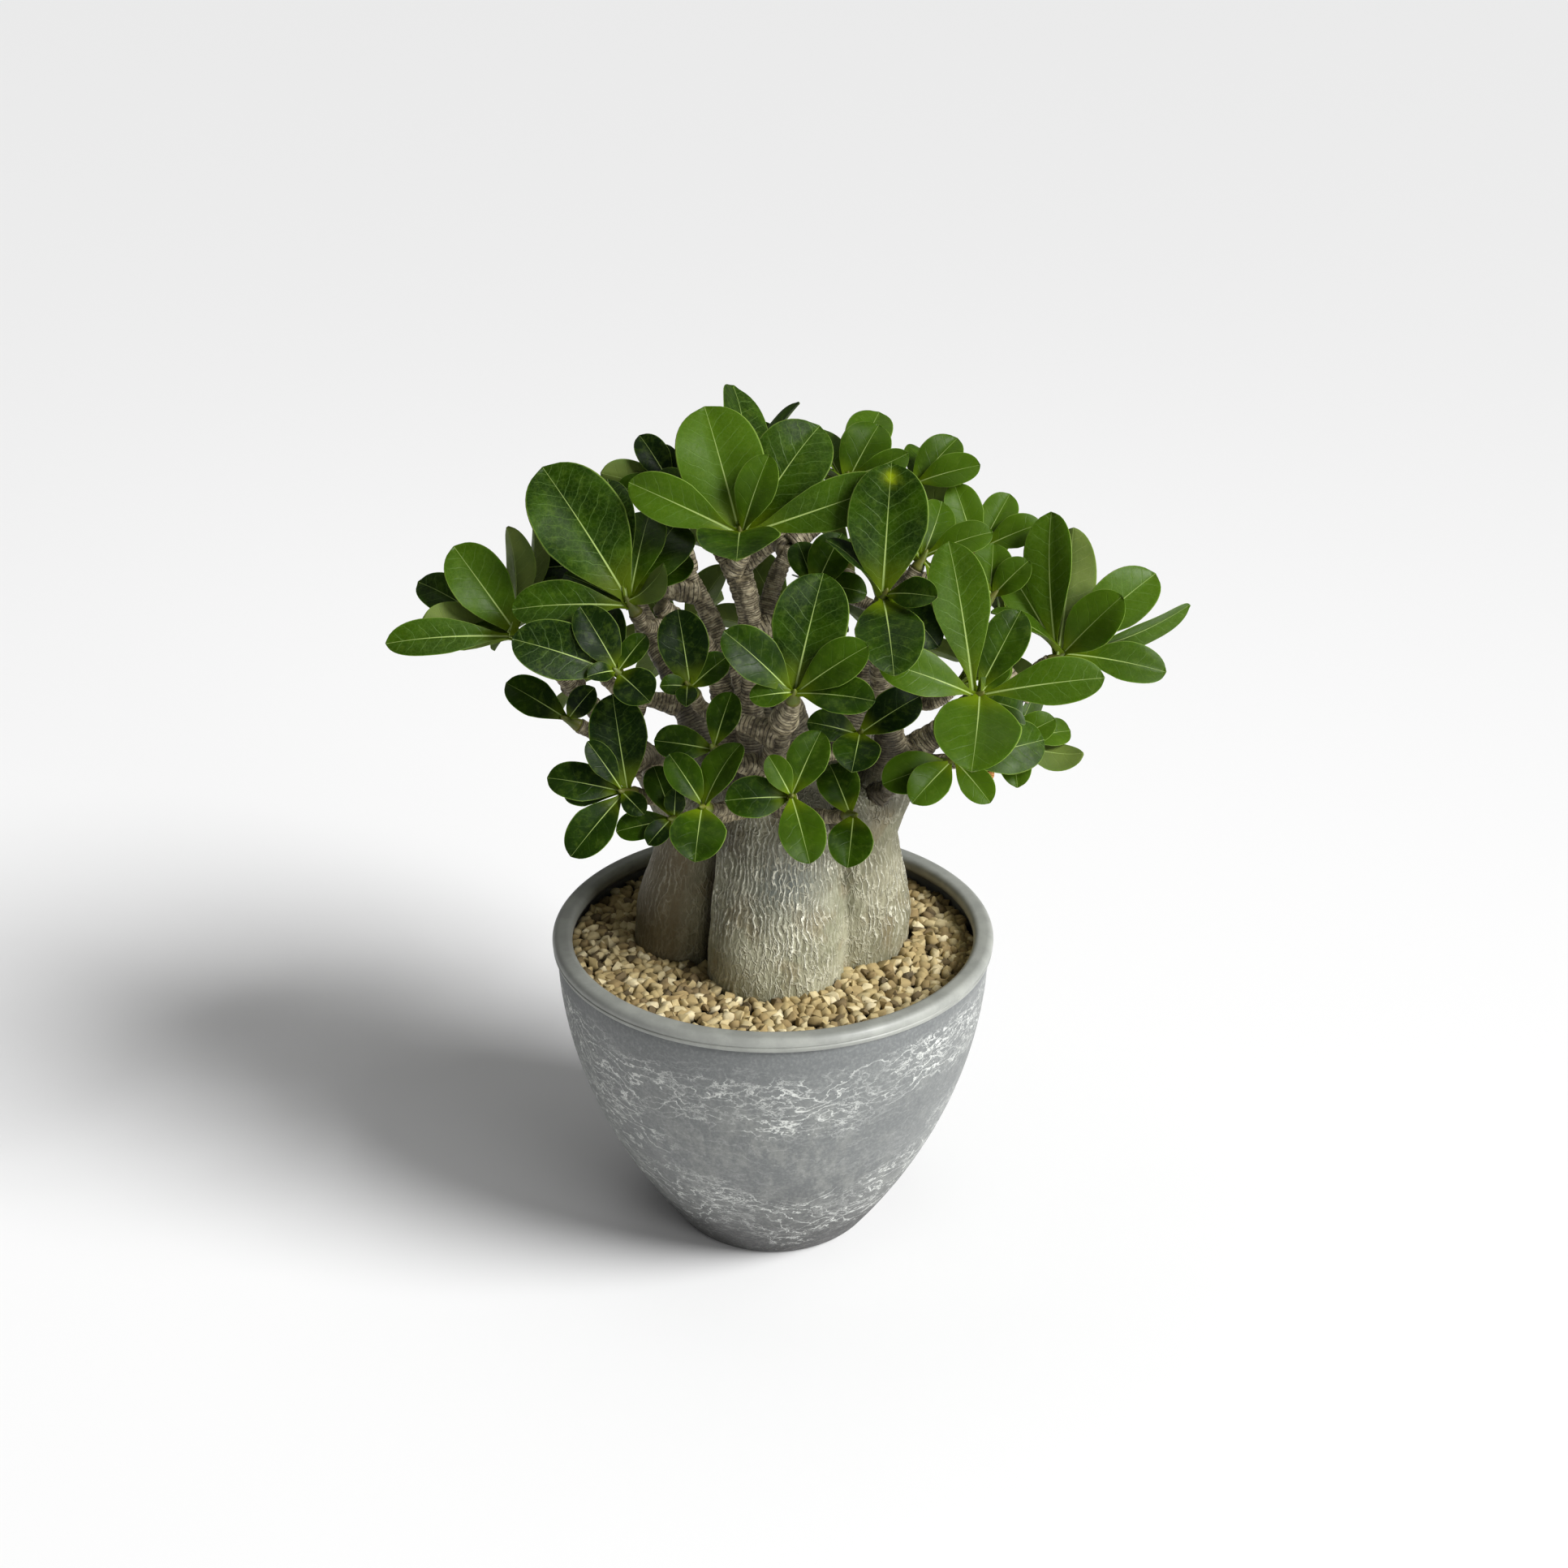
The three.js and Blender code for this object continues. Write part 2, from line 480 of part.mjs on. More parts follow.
/** A point on the leaf: share of the length, distance across, and depth under the face. */
function leafPoint(leaf, share, across, under = 0) {
  const point = leaf.root.clone().addScaledVector(leaf.along, leaf.length * share);
  point.addScaledVector(leaf.side, across);
  return point.addScaledVector(leaf.up, faceHeight(leaf, share, across) - under);
}

function leafSolid(leaf) {
  const { shares } = LEAF_STATIONS.find((row) => leaf.length <= row.upTo);
  const rings = shares.map((share) => {
    const half = halfWidth(leaf, share);
    return [
      leafPoint(leaf, share, half),
      leafPoint(leaf, share, 0),
      leafPoint(leaf, share, -half),
      leafPoint(leaf, share, 0, LEAF_THICKNESS),
    ];
  });
  return solid(loft(leafPoint(leaf, 0, 0, LEAF_THICKNESS / 2), rings, leafPoint(leaf, 1, 0)));
}

/** Points along both edges and the midrib, which stand for the leaf in the tests. */
function outlinePoints(leaf) {
  const points = [];
  for (let step = 2; step <= OUTLINE_STEPS; step += 1) {
    const share = step / OUTLINE_STEPS;
    const half = halfWidth(leaf, share);
    [-half, 0, half].forEach((across) => {
      points.push({ share, place: leafPoint(leaf, share, across) });
    });
  }
  return points;
}

/** Whether a point lies within a clearance of the leaf's blade. */
function touches(leaf, place, clearance) {
  const offset = place.clone().sub(leaf.root);
  const share = offset.dot(leaf.along) / leaf.length;
  const end = clearance / leaf.length;
  if (share < -end || share > 1 + end) return false;
  const across = offset.dot(leaf.side);
  const inside = THREE.MathUtils.clamp(share, 0, 1);
  if (Math.abs(across) > halfWidth(leaf, inside) + Math.max(EDGE_CLEARANCE, clearance - LEAF_CLEARANCE)) {
    return false;
  }
  return Math.abs(offset.dot(leaf.up) - faceHeight(leaf, inside, across)) < clearance;
}

/** Whether two leaves come too near each other. */
function leavesClash(one, other) {
  if (one.root.distanceTo(other.root) > one.length + other.length) return false;
  const sisters = one.tip === other.tip;
  const clearance = sisters ? SISTER_CLEARANCE : LEAF_CLEARANCE;
  const start = sisters ? SISTER_ROOTS : 0;
  const hits = (leaf, points) => points.some((p) => p.share > start && touches(leaf, p.place, clearance));
  return hits(one, other.outline) || hits(other, one.outline);
}

/** Whether a leaf comes too near a limb or a twig, given as a list of round spots. */
function woodClash(leaf, wood) {
  return wood.some((spot) => {
    if (spot.tip === leaf.tip && spot.nearEnd) return false;
    if (spot.place.distanceTo(leaf.root) > leaf.length + spot.radius + LEAF_CLEARANCE) return false;
    return touches(leaf, spot.place, LEAF_CLEARANCE + spot.radius);
  });
}

/** The leaf turned aside by an angle in one of several ways, and shortened. */
function turnedLeaf(leaf, aside, way, shorter) {
  const heading = (2 * Math.PI * way) / ASIDE_WAYS;
  const sideways = leaf.up.clone().multiplyScalar(Math.cos(heading));
  sideways.addScaledVector(leaf.side, Math.sin(heading));
  const along = leaf.along.clone().multiplyScalar(Math.cos(radians(aside)));
  along.addScaledVector(sideways, Math.sin(radians(aside))).normalize();
  const turned = makeLeaf(leaf.root, along, leaf.up, leaf.length * shorter, leaf.width * shorter);
  turned.tip = leaf.tip;
  turned.outline = outlinePoints(turned);
  return turned;
}

/** The nearest clear place for a leaf, or nothing where there is none. */
function clearedLeaf(leaf, others, wood) {
  for (const shorter of SHORTER) {
    for (const aside of TURN_ASIDE) {
      const ways = aside === 0 ? 1 : ASIDE_WAYS;
      for (let way = 0; way < ways; way += 1) {
        const turned = turnedLeaf(leaf, aside, way, shorter);
        if (!woodClash(turned, wood) && !others.some((other) => leavesClash(turned, other))) return turned;
      }
    }
  }
  return null;
}

/** The leaves that the front view shows on a tip. */
function frontLeaves(tip) {
  const rise = radians(VIEW_RISE);
  const right = vector(1, 0, 0);
  const over = vector(0, Math.sin(rise), Math.cos(rise));
  const forward = vector(0, -Math.cos(rise), Math.sin(rise));
  return tip.leaves.map(([turn, lean, length, width, roll], index) => {
    const along = right.clone().multiplyScalar(Math.cos(radians(turn)));
    along.addScaledVector(over, Math.sin(radians(turn))).multiplyScalar(Math.cos(radians(lean)));
    along.addScaledVector(forward, Math.sin(radians(lean))).normalize();
    const root = tip.place.clone().addScaledVector(tip.axis, ROOT_SPREAD * (index / tip.leaves.length - 0.5));
    return { ...makeLeaf(root, along, VIEW_FACING, length, width, roll), tip };
  });
}

/** The direction of one leaf in the spiral round a tip. */
function spiralDirection(axis, index, rise) {
  const first = vector(0, 0, 1).cross(axis).normalize();
  const second = axis.clone().cross(first);
  const angle = radians(GOLDEN_ANGLE * index);
  const along = first.multiplyScalar(Math.cos(angle)).addScaledVector(second, Math.sin(angle));
  along.multiplyScalar(Math.cos(radians(rise)));
  return along.addScaledVector(axis, Math.sin(radians(rise))).normalize();
}

/** Leaves set in a spiral round the tip, away from its other leaves and from the viewer. */
function spiralLeaves(tip, count, started, behindOnly, random) {
  const leaves = [];
  for (let index = 0; leaves.length < count && index < SPIRAL_TURNS; index += 1) {
    const rise = THREE.MathUtils.lerp(...(behindOnly ? BEHIND_RISE : BACK_RISE), random());
    const length = THREE.MathUtils.lerp(...BACK_LEAF_LENGTH, random());
    const along = spiralDirection(tip.axis, index, rise);
    const near = Math.cos(radians(LEAST_APART));
    const taken = [...started, ...leaves].some((leaf) => leaf.along.dot(along) > near);
    if (taken || (behindOnly && along.y < BEHIND_LEAST)) continue;
    const root = tip.place.clone().addScaledVector(tip.axis, SPIRAL_START + SPIRAL_PITCH * leaves.length);
    const leaf = makeLeaf(root, along, tip.axis, length, length * BACK_LEAF_RATIO);
    leaves.push({ ...leaf, tip });
  }
  return leaves;
}

/** All leafy tips: those in the front view first, then the tiers round the back. */
function makeTips() {
  const tips = Object.entries(FRONT_TIPS).map(([name, tip]) => ({ ...tip, name, place: vector(...tip.at) }));
  BACK_TIERS.forEach((tier, level) => {
    tier.bearings.forEach((bearing, index) => {
      const x = BACK_CENTRE[0] + tier.reach * Math.cos(radians(bearing));
      const y = BACK_CENTRE[1] + tier.reach * Math.sin(radians(bearing));
      const name = `back_tier_${level + 1}_${index + 1}`;
      tips.push({ name, place: vector(x, y, tier.height), leaves: [], extra: tier.leaves, isBack: true });
    });
  });
  tips.forEach((tip) => {
    tip.axis = tipAxis(tip.place);
  });
  return tips;
}

/** Leaves of every tip, each turned clear of the wood and of the leaves before it. */
function growLeaves(tips, wood) {
  const random = makeRandom(LEAF_SEED);
  const grown = [];
  const wanted = tips.map((tip) => frontLeaves(tip));
  wanted.flat().forEach((leaf) => grown.push(clearedLeaf(leaf, grown.filter(Boolean), wood)));
  tips.forEach((tip, index) => {
    const leaves = spiralLeaves(tip, tip.extra, wanted[index], !tip.isBack, random);
    leaves.forEach((leaf) => grown.push(clearedLeaf(leaf, grown.filter(Boolean), wood)));
  });
  return grown.filter(Boolean);
}

/** The short green stem tip that the leaves of a tip grow from. */
function tipCore(tip) {
  const foot = tip.place.clone().addScaledVector(tip.axis, GAP - TIP_CORE_LENGTH / 2);
  const middle = tip.place.clone();
  const end = tip.place.clone().addScaledVector(tip.axis, TIP_CORE_LENGTH / 2);
  const first = vector(0, 0, 1).cross(tip.axis).normalize();
  const second = tip.axis.clone().cross(first);
  const ring = (centre, radius) => [[1, 0], [0, 1], [-1, 0], [0, -1]].map(([one, other]) => {
    const corner = centre.clone().addScaledVector(first, one * radius);
    return corner.addScaledVector(second, other * radius);
  });
  const rings = [ring(foot, TWIG_END_RADIUS), ring(middle, TWIG_END_RADIUS + TIP_CORE_SWELL)];
  return solid(loft(foot, rings, end));
}

// ---------------------------------------------------------------- limbs and twigs

function limbPoints(rows) {
  return rows.map((row) => new THREE.Vector4(...row));
}

/** Round spots along a run of points with radii, which stand for the wood in the tests. */
function woodSpots(points, tip) {
  const curve = new THREE.CatmullRomCurve3(points.map((p) => vector(p.x, p.y, p.z)));
  const count = Math.max(Math.round(curve.getLength() / SPOT_SPACING), 2);
  const end = curve.getPoint(1);
  const spots = [];
  for (let step = 0; step <= count; step += 1) {
    const along = (step / count) * (points.length - 1);
    const low = Math.min(Math.floor(along), points.length - 2);
    const radius = THREE.MathUtils.lerp(points[low].w, points[low + 1].w, along - low);
    const place = curve.getPoint(step / count);
    spots.push({ place, radius, tip, nearEnd: place.distanceTo(end) < TWIG_END_LENGTH });
  }
  return spots;
}

/** The twig from the nearest limb below a tip up to that tip. */
function twigPoints(tip, limbs) {
  const end = tip.place.clone().addScaledVector(tip.axis, -TIP_CORE_LENGTH / 2);
  let start = null;
  let least = Infinity;
  limbs.flat().forEach((spot) => {
    const climb = Math.max(spot.place.z - (end.z - TWIG_DROP), 0);
    const cost = spot.place.distanceTo(end) + CLIMB_COST * climb;
    if (cost < least && spot.place.z > CAUDEX_CROWN - TWIG_DROP) {
      least = cost;
      start = spot;
    }
  });
  const span = start.place.distanceTo(end);
  const elbow = start.place.clone().lerp(end, TWIG_ELBOW);
  elbow.z -= TWIG_SAG * span;
  const neck = end.clone().addScaledVector(tip.axis, -TWIG_NECK * span);
  const footRadius = Math.min(TWIG_FOOT_SHARE * start.radius, TWIG_START_RADIUS);
  const rows = [
    [start.place, footRadius],
    [elbow.lerp(neck, TWIG_EASE), THREE.MathUtils.lerp(TWIG_END_RADIUS, footRadius, TWIG_TAPER)],
    [neck, TWIG_END_RADIUS],
    [end, TWIG_END_RADIUS],
  ];
  return rows.map(([place, radius]) => new THREE.Vector4(place.x, place.y, place.z, radius));
}

// ---------------------------------------------------------------- materials and assembly

function finish(color, roughness) {
  return new THREE.MeshStandardMaterial({ color, roughness, metalness: 0 });
}

const part = new THREE.Group();
const potFinish = finish('#7d838a', 0.5);
const mixFinish = finish('#8a7757', 0.95);
const gravelFinish = finish('#c2aa7c', 0.9);
const barkFinish = finish('#a39b86', 0.7);
const leafFinish = finish('#2f5d22', 0.35);

const tips = makeTips();
const limbs = Object.values(LIMBS).map(limbPoints);
const limbSpots = limbs.map((points) => woodSpots(points, null));
const twigs = tips.map((tip) => twigPoints(tip, limbSpots));
const wood = [...limbSpots, ...twigs.map((points, index) => woodSpots(points, tips[index]))].flat();
const leaves = growLeaves(tips, wood);

const footHole = makeFootHole();
const woodSolids = [
  makeCaudexBody(),
  ...limbs.map((points) => solid(taperedTube(points, LIMB_SIDES, LIMB_STEPS))),
  ...twigs.map((points) => solid(taperedTube(points, TWIG_SIDES, TWIG_STEPS))),
];
part.add(piece('pot', makePot(), potFinish));
part.add(piece('potting_mix', makePottingMix(footHole), mixFinish));
part.add(piece('gravel', makeGravel(footHole), gravelFinish));
part.add(piece('caudex', joined(woodSolids), barkFinish));
tips.forEach((tip) => {
  const blades = leaves.filter((leaf) => leaf.tip === tip).map(leafSolid);
  part.add(piece(`leaves_${tip.name}`, joined([tipCore(tip), ...blades]), leafFinish));
});

export default part;
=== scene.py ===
import math
from dataclasses import dataclass

import bmesh
import bpy
import numpy as np
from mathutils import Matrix, Vector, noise
from mathutils.kdtree import KDTree


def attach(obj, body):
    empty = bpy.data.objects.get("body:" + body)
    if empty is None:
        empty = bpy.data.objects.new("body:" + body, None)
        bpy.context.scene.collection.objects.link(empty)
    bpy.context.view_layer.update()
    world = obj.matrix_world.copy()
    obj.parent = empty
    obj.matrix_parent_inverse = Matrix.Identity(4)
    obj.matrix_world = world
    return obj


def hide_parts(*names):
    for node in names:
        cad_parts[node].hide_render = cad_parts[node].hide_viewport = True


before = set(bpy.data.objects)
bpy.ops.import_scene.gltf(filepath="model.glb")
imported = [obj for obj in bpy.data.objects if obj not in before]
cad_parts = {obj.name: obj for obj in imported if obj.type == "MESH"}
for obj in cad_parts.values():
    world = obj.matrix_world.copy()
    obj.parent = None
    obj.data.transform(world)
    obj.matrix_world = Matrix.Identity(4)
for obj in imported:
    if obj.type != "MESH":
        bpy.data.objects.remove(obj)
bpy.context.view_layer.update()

MM = 0.001

# ---------------------------------------------------------------- driving dimensions

GAP = 0.35  # between the gravel's layer and what it touches

# Pot
POT_HEIGHT = 149
BASE_RADIUS = 46
WALL_TOP = 142
WALL_SWELL = 52
WALL_THICKNESS = 3
FLOOR_THICKNESS = 4.5
RIM_RADIUS = 100
RIM_INNER_RADIUS = 91
DRAIN_RADIUS = 4.5
DRAIN_CIRCLE = 27
DRAIN_COUNT = 4
POT_SEGMENTS = 224
HOLE_SEGMENTS = 32
OUTSIDE_ROWS, ARC_ROWS, INSIDE_ROWS = 48, 8, 26
DRILL_SPAN = [-5, 10]
POT_CREASE = 40  # degrees; a sharper edge is shown sharp
WALL_END = 9.5  # how far under the rim's top the curve of the wall ends
CREST_ROUND = 3  # radius of the rim's two round edges
INNER_FADE = [4.5, 6.5]  # depths under the top between which the inside's plain colour begins
# Distances in from the rim's radius and down from its top: its outer side, with two grooves,
# and its inner side.
RIM_BAND = [[2.25, 8.1], [2.4, 7.5], [1.9, 7], [1, 6.7], [0.5, 6.3], [0.25, 5.6], [0.2, 4.7],
            [0.55, 4.3], [0.55, 4], [0.15, 3.7]]
RIM_LIP = [[0, 4], [0.3, 5.6], [1.6, 7], [3.6, 7.6]]

# Gravel
MIX_TOP = 124
GRAVEL_FLOOR = 131  # level that the loose grains lie on
GRAVEL_CREST = 138.6  # a grain's middle stays at least its radius under this
GRAIN_COUNT = 1450
GRAIN_SIZES = [2.0, 3.2]  # radius
GRAIN_TRIALS = 14  # a new grain takes the lowest of this many places
GRAIN_NESTING = 1.04  # how near two grains lie, over the sum of their radii
GRAIN_TO_WOOD, GRAIN_TO_FLOOR = 0.45, 0.4  # how near those may come, over a grain's radius
GRAIN_CORNERS = 14
GRAIN_JITTER = 0.17  # of a corner, as a share of the radius
GRAIN_CHIP = 0.12  # of the four points that soften a corner
GRAIN_CREASE = 50  # degrees
GRAIN_SHAPES = 40
GRAVEL_SEED = 31
BED_TONE = 0.12  # of the layer under the loose grains, where theirs go from 0 to 1
PAINTED_DEPTH_SHADE = [1.0, 4.0, 0.97]  # depths under the crest between which painted shade darkens the gravel, and how strongly

# Caudex
CAUDEX_AXIS = np.array([0.0, 12.0])
CAUDEX_FOOT = 102
GRAVEL_TOP = 137
# A lobe's shade paints shade on its bark, partly its own browner tone, and makes the lines and net on
# it fainter.
LOBES = [
    {"from": -137, "to": -44, "crease": 32, "reach": 60, "top": 0.84, "fissure": 1.0, "shade": 0.0},
    {"from": -44, "to": 44, "crease": 43, "reach": 62, "top": 0.94, "fissure": 0.15, "shade": 0.32},
    {"from": 44, "to": 92, "crease": 40, "reach": 50, "top": 0.9, "fissure": 0.7, "shade": 0.4},
    {"from": 92, "to": 138, "crease": 38, "reach": 49, "top": 0.9, "fissure": 0.7, "shade": 0.4},
    {"from": 138, "to": 223, "crease": 36, "reach": 64, "top": 0.8, "fissure": 0.7, "shade": 1.0},
]
LOBE_ROUNDNESS = 0.55
LOBE_FADE = 0.35
CAUDEX_RINGS = [
    [CAUDEX_FOOT, 0.55], [112, 0.86], [126, 0.97], [GRAVEL_TOP, 1], [153, 1.03],
    [171, 1.02], [190, 1], [206, 0.96], [217, 0.84], [225, 0.64],
]
CAUDEX_CROWN = 230
STRIPE_COUNT = 132  # wavy lines round the caudex
BODY_STEP = 1.25  # degrees
SHOULDER = 206  # height from which the body's rings lie closer
LOBES_FADE = [SHOULDER, 190]  # heights between which the fissures and the painted shade begin, going down
LINES_BEGIN = [142, 162]  # heights over which the wavy lines grow to their full strength
PAINTED_CROWN_SHADE = [[186, 214], [275, 240]]  # heights between which painted shade from the crown darkens the bark, from both sides
BLUISH = [[6, 20], [190, 17]]  # across and up: the middle of the bluish patch in front, its reach
WOOD_VOXEL = 1.0
WOOD_ROUNDS = 14  # of smoothing, which slender limbs get less of
SLENDER_KEPT = 0.85
ON_LIMB = [1.7, 1.15]  # distance from a limb's middle, over its radius, where its bark begins
LIMB_FEET = [207, 222]  # the heights between which it does
SLENDER = [12.5, 7]  # the radii between which bark goes over to that of a twig
LIMB_SIDES, LIMB_STEP = 28, 2
FISSURE_WIDTH = 1.9
FISSURE_DEPTH = 2.2
LINE_RELIEF = 0.7
SCAR_RELIEF = 0.55

# Limbs: points on each limb's centre line with its radius there.
LIMBS = {
    "front": [[-4, -8, 190, 17], [-7, -20, 222, 10], [-4, -35, 241, 5.8], [1, -46, 255, 5.2],
              [6, -60, 281, 4.2]],
    "middle": [[-6, 8, 195, 18], [-8, -2, 232, 8.5], [-9, -9, 262, 4.8], [-8, -9, 295, 4.1],
               [-12, -10, 318, 3.9]],
    "middle_fork": [[-9, -9, 294, 3.8], [-14, -8, 313, 3.5], [-22, -4, 330, 3.3]],
    "middle_back": [[10, 22, 195, 18], [8, 22, 240, 8], [-4, 10, 280, 4.2], [0, 15, 305, 3.8],
                    [8, 22, 322, 3.6]],
    "left": [[-34, 10, 190, 16], [-48, 6, 220, 9], [-56, -8, 236, 5.2], [-60, -30, 240, 4]],
    "left_high": [[-18, 2, 205, 13], [-20, 0, 250, 6], [-27, 0, 282, 4.2], [-47, -10, 306, 4.2]],
    "left_low": [[-44, 12, 205, 11], [-62, 6, 236, 5.4], [-80, 0, 258, 4.3], [-92, -6, 276, 3.7]],
    "back_left": [[-20, 28, 195, 15], [-18, 28, 240, 7.2], [-24, 30, 276, 4.6], [-38, 38, 305, 3.9]],
    "right": [[38, 6, 190, 18], [50, 4, 220, 11], [51, 0, 243, 6.2], [46, -8, 272, 4.6],
              [45, -22, 298, 4]],
    "right_low": [[46, 8, 205, 13], [68, 2, 240, 6], [90, -4, 252, 4.6], [106, -2, 262, 4]],
    "back_right": [[26, 34, 195, 15], [38, 38, 240, 7.8], [46, 36, 280, 5], [58, 38, 316, 4]],
    "back": [[0, 44, 195, 13], [-4, 60, 236, 7.6], [-9, 72, 264, 5.2], [-14, 78, 295, 4]],
    "back_low_left": [[-26, 42, 200, 11], [-42, 62, 236, 6.4], [-58, 78, 260, 4.4]],
    "back_low_right": [[30, 46, 200, 11], [48, 64, 236, 6.4], [62, 80, 260, 4.4]],
}
# Two torn stubs at the foot of limbs, in the same way.
CUT_STUBS = [
    [[46, -13, 220, 3.4], [49, -19, 225, 3.2], [50, -22, 227.5, 2.7]],
    [[28, -24, 213, 3.2], [29.5, -31, 218, 3], [30, -33.5, 220, 2.5]],
]
# The dry orange bud that hangs at the right, forked in two.
DRY_BUDS = [
    [[98, -9, 240, 1], [94.5, -9.5, 235, 0.9], [91, -10.5, 228.5, 2.3], [89, -11, 224, 1]],
    [[98, -9, 240, 1], [95.5, -9.5, 234, 0.9], [94, -11, 228, 2.1], [93.5, -11.5, 224.5, 1]],
]
TWIG_SIDES, TWIG_STEP = 16, 0.8
TWIG_START_RADIUS = 4.2
TWIG_END_RADIUS = 3
TWIG_FOOT_SHARE = 0.9  # radius of a twig's foot over that of the limb, where that is less
TWIG_ELBOW = 0.4  # share of the span at which a twig sags, and by how much of the span
TWIG_SAG = 0.06
TWIG_NECK = 0.25  # share of the span over which a twig points along its tip
TWIG_EASE = 0.3  # how far the elbow is drawn to the neck
TWIG_TAPER = 0.4  # share of the difference in radius that is left there
TWIG_DROP = 12  # a twig starts at least this far under its tip, or it costs
CLIMB_COST = 3  # each mm of that, over each mm of length
SPOT_SPACING = 4  # between the spots that stand for the wood in the tests
TWIG_END_LENGTH = 9  # the run of a twig that its own leaves may touch
SCAR_SPACING = 3.6  # between the ring scars of old leaves
SCAR_WANDER, SCAR_SHARPNESS = 0.35, 0.6
FOOT_FLARE = [0.55, 7]  # how much wider a twig is at its foot, and over what length
END_FLARE = [0.1, 4]
STUB_ROUGHNESS = 0.5  # of a torn stub's skin, as a share of its radius
TWIG_ROUGHNESS = 0.09

# Leaves
LEAF_ARCH = 0.07
LEAF_FOLD = 0.2
LEAF_RATIOS = [0.4, 0.68]  # width over length of a narrow leaf and of a full one
LEAF_WIDEST = [0.64, 0.56]
WEDGE_POWER = [1.7, 0.95]
TIP_FULLNESS = 2.4
TIP_ROUNDNESS = 0.52
STALK_SHARE = 0.13
TIP_CORE_LENGTH = 12
CROWN_CENTRE = np.array([0.0, 10.0, 225.0])
CROWN_LIFT = 30
CORE_SECTION = [[-6, 3.0], [-4.5, 2.8], [-2.5, 2.1], [-0.5, 1.6], [1.5, 1.2], [3, 0.7]]
CORE_DEPTH, CORE_TOP = 6.2, 4
BLADE_ROWS = 24
BLADE_COLUMNS = 12
BLADE_THICKNESS = 0.95
STALK_THICKNESS = 2.2
MIDRIB_GROOVE = [0.4, 0.8]  # depth above and width
MIDRIB_RIDGE = [0.7, 1.2]  # depth below and width
EDGE_WAVES = [0.07, 1.3]  # depth over half width, and how many
SWAY = 0.025  # most that a blade bends sideways, over its length
CURL = [-0.01, 0.05]  # least and most that its end bends down
TWIST = 0.04
TONE_SHARE = 0.6  # of the tip's painted light and shade in a leaf's tone; the rest is drawn at random
SPOTTED = ("upper_right", 0)  # tip and number of the leaf with a yellow spot
SPOT_PLACE, SPOT_WIDTH = 0.9, 2.4
VEINY = [34, 56]  # lengths between which a leaf's veins begin to show
FOLIAGE_SEED = 100
CORE_SIDES = 14
# Painted light and shade on the leaves of a tip, from shaded 0 to lit 1; other tips are painted
# lighter the further to the right they stand.
PAINTED_TIP_LIGHT = {
    "top": 0.8, "upper_left": 0.35, "far_left": 0.6, "middle_left": 0.0, "lower_left": 0.0,
    "centre": 0.45, "lower_centre": 0.6, "lower_front_left": 0.4, "low_left_small": 0.2,
    "inner_left": 0.1, "inner_front": 0.2, "left_behind": 0.0, "upper_right": 0.1,
    "inner_right": 0.1, "low_right": 0.45, "right": 0.8, "far_right": 1.0,
}

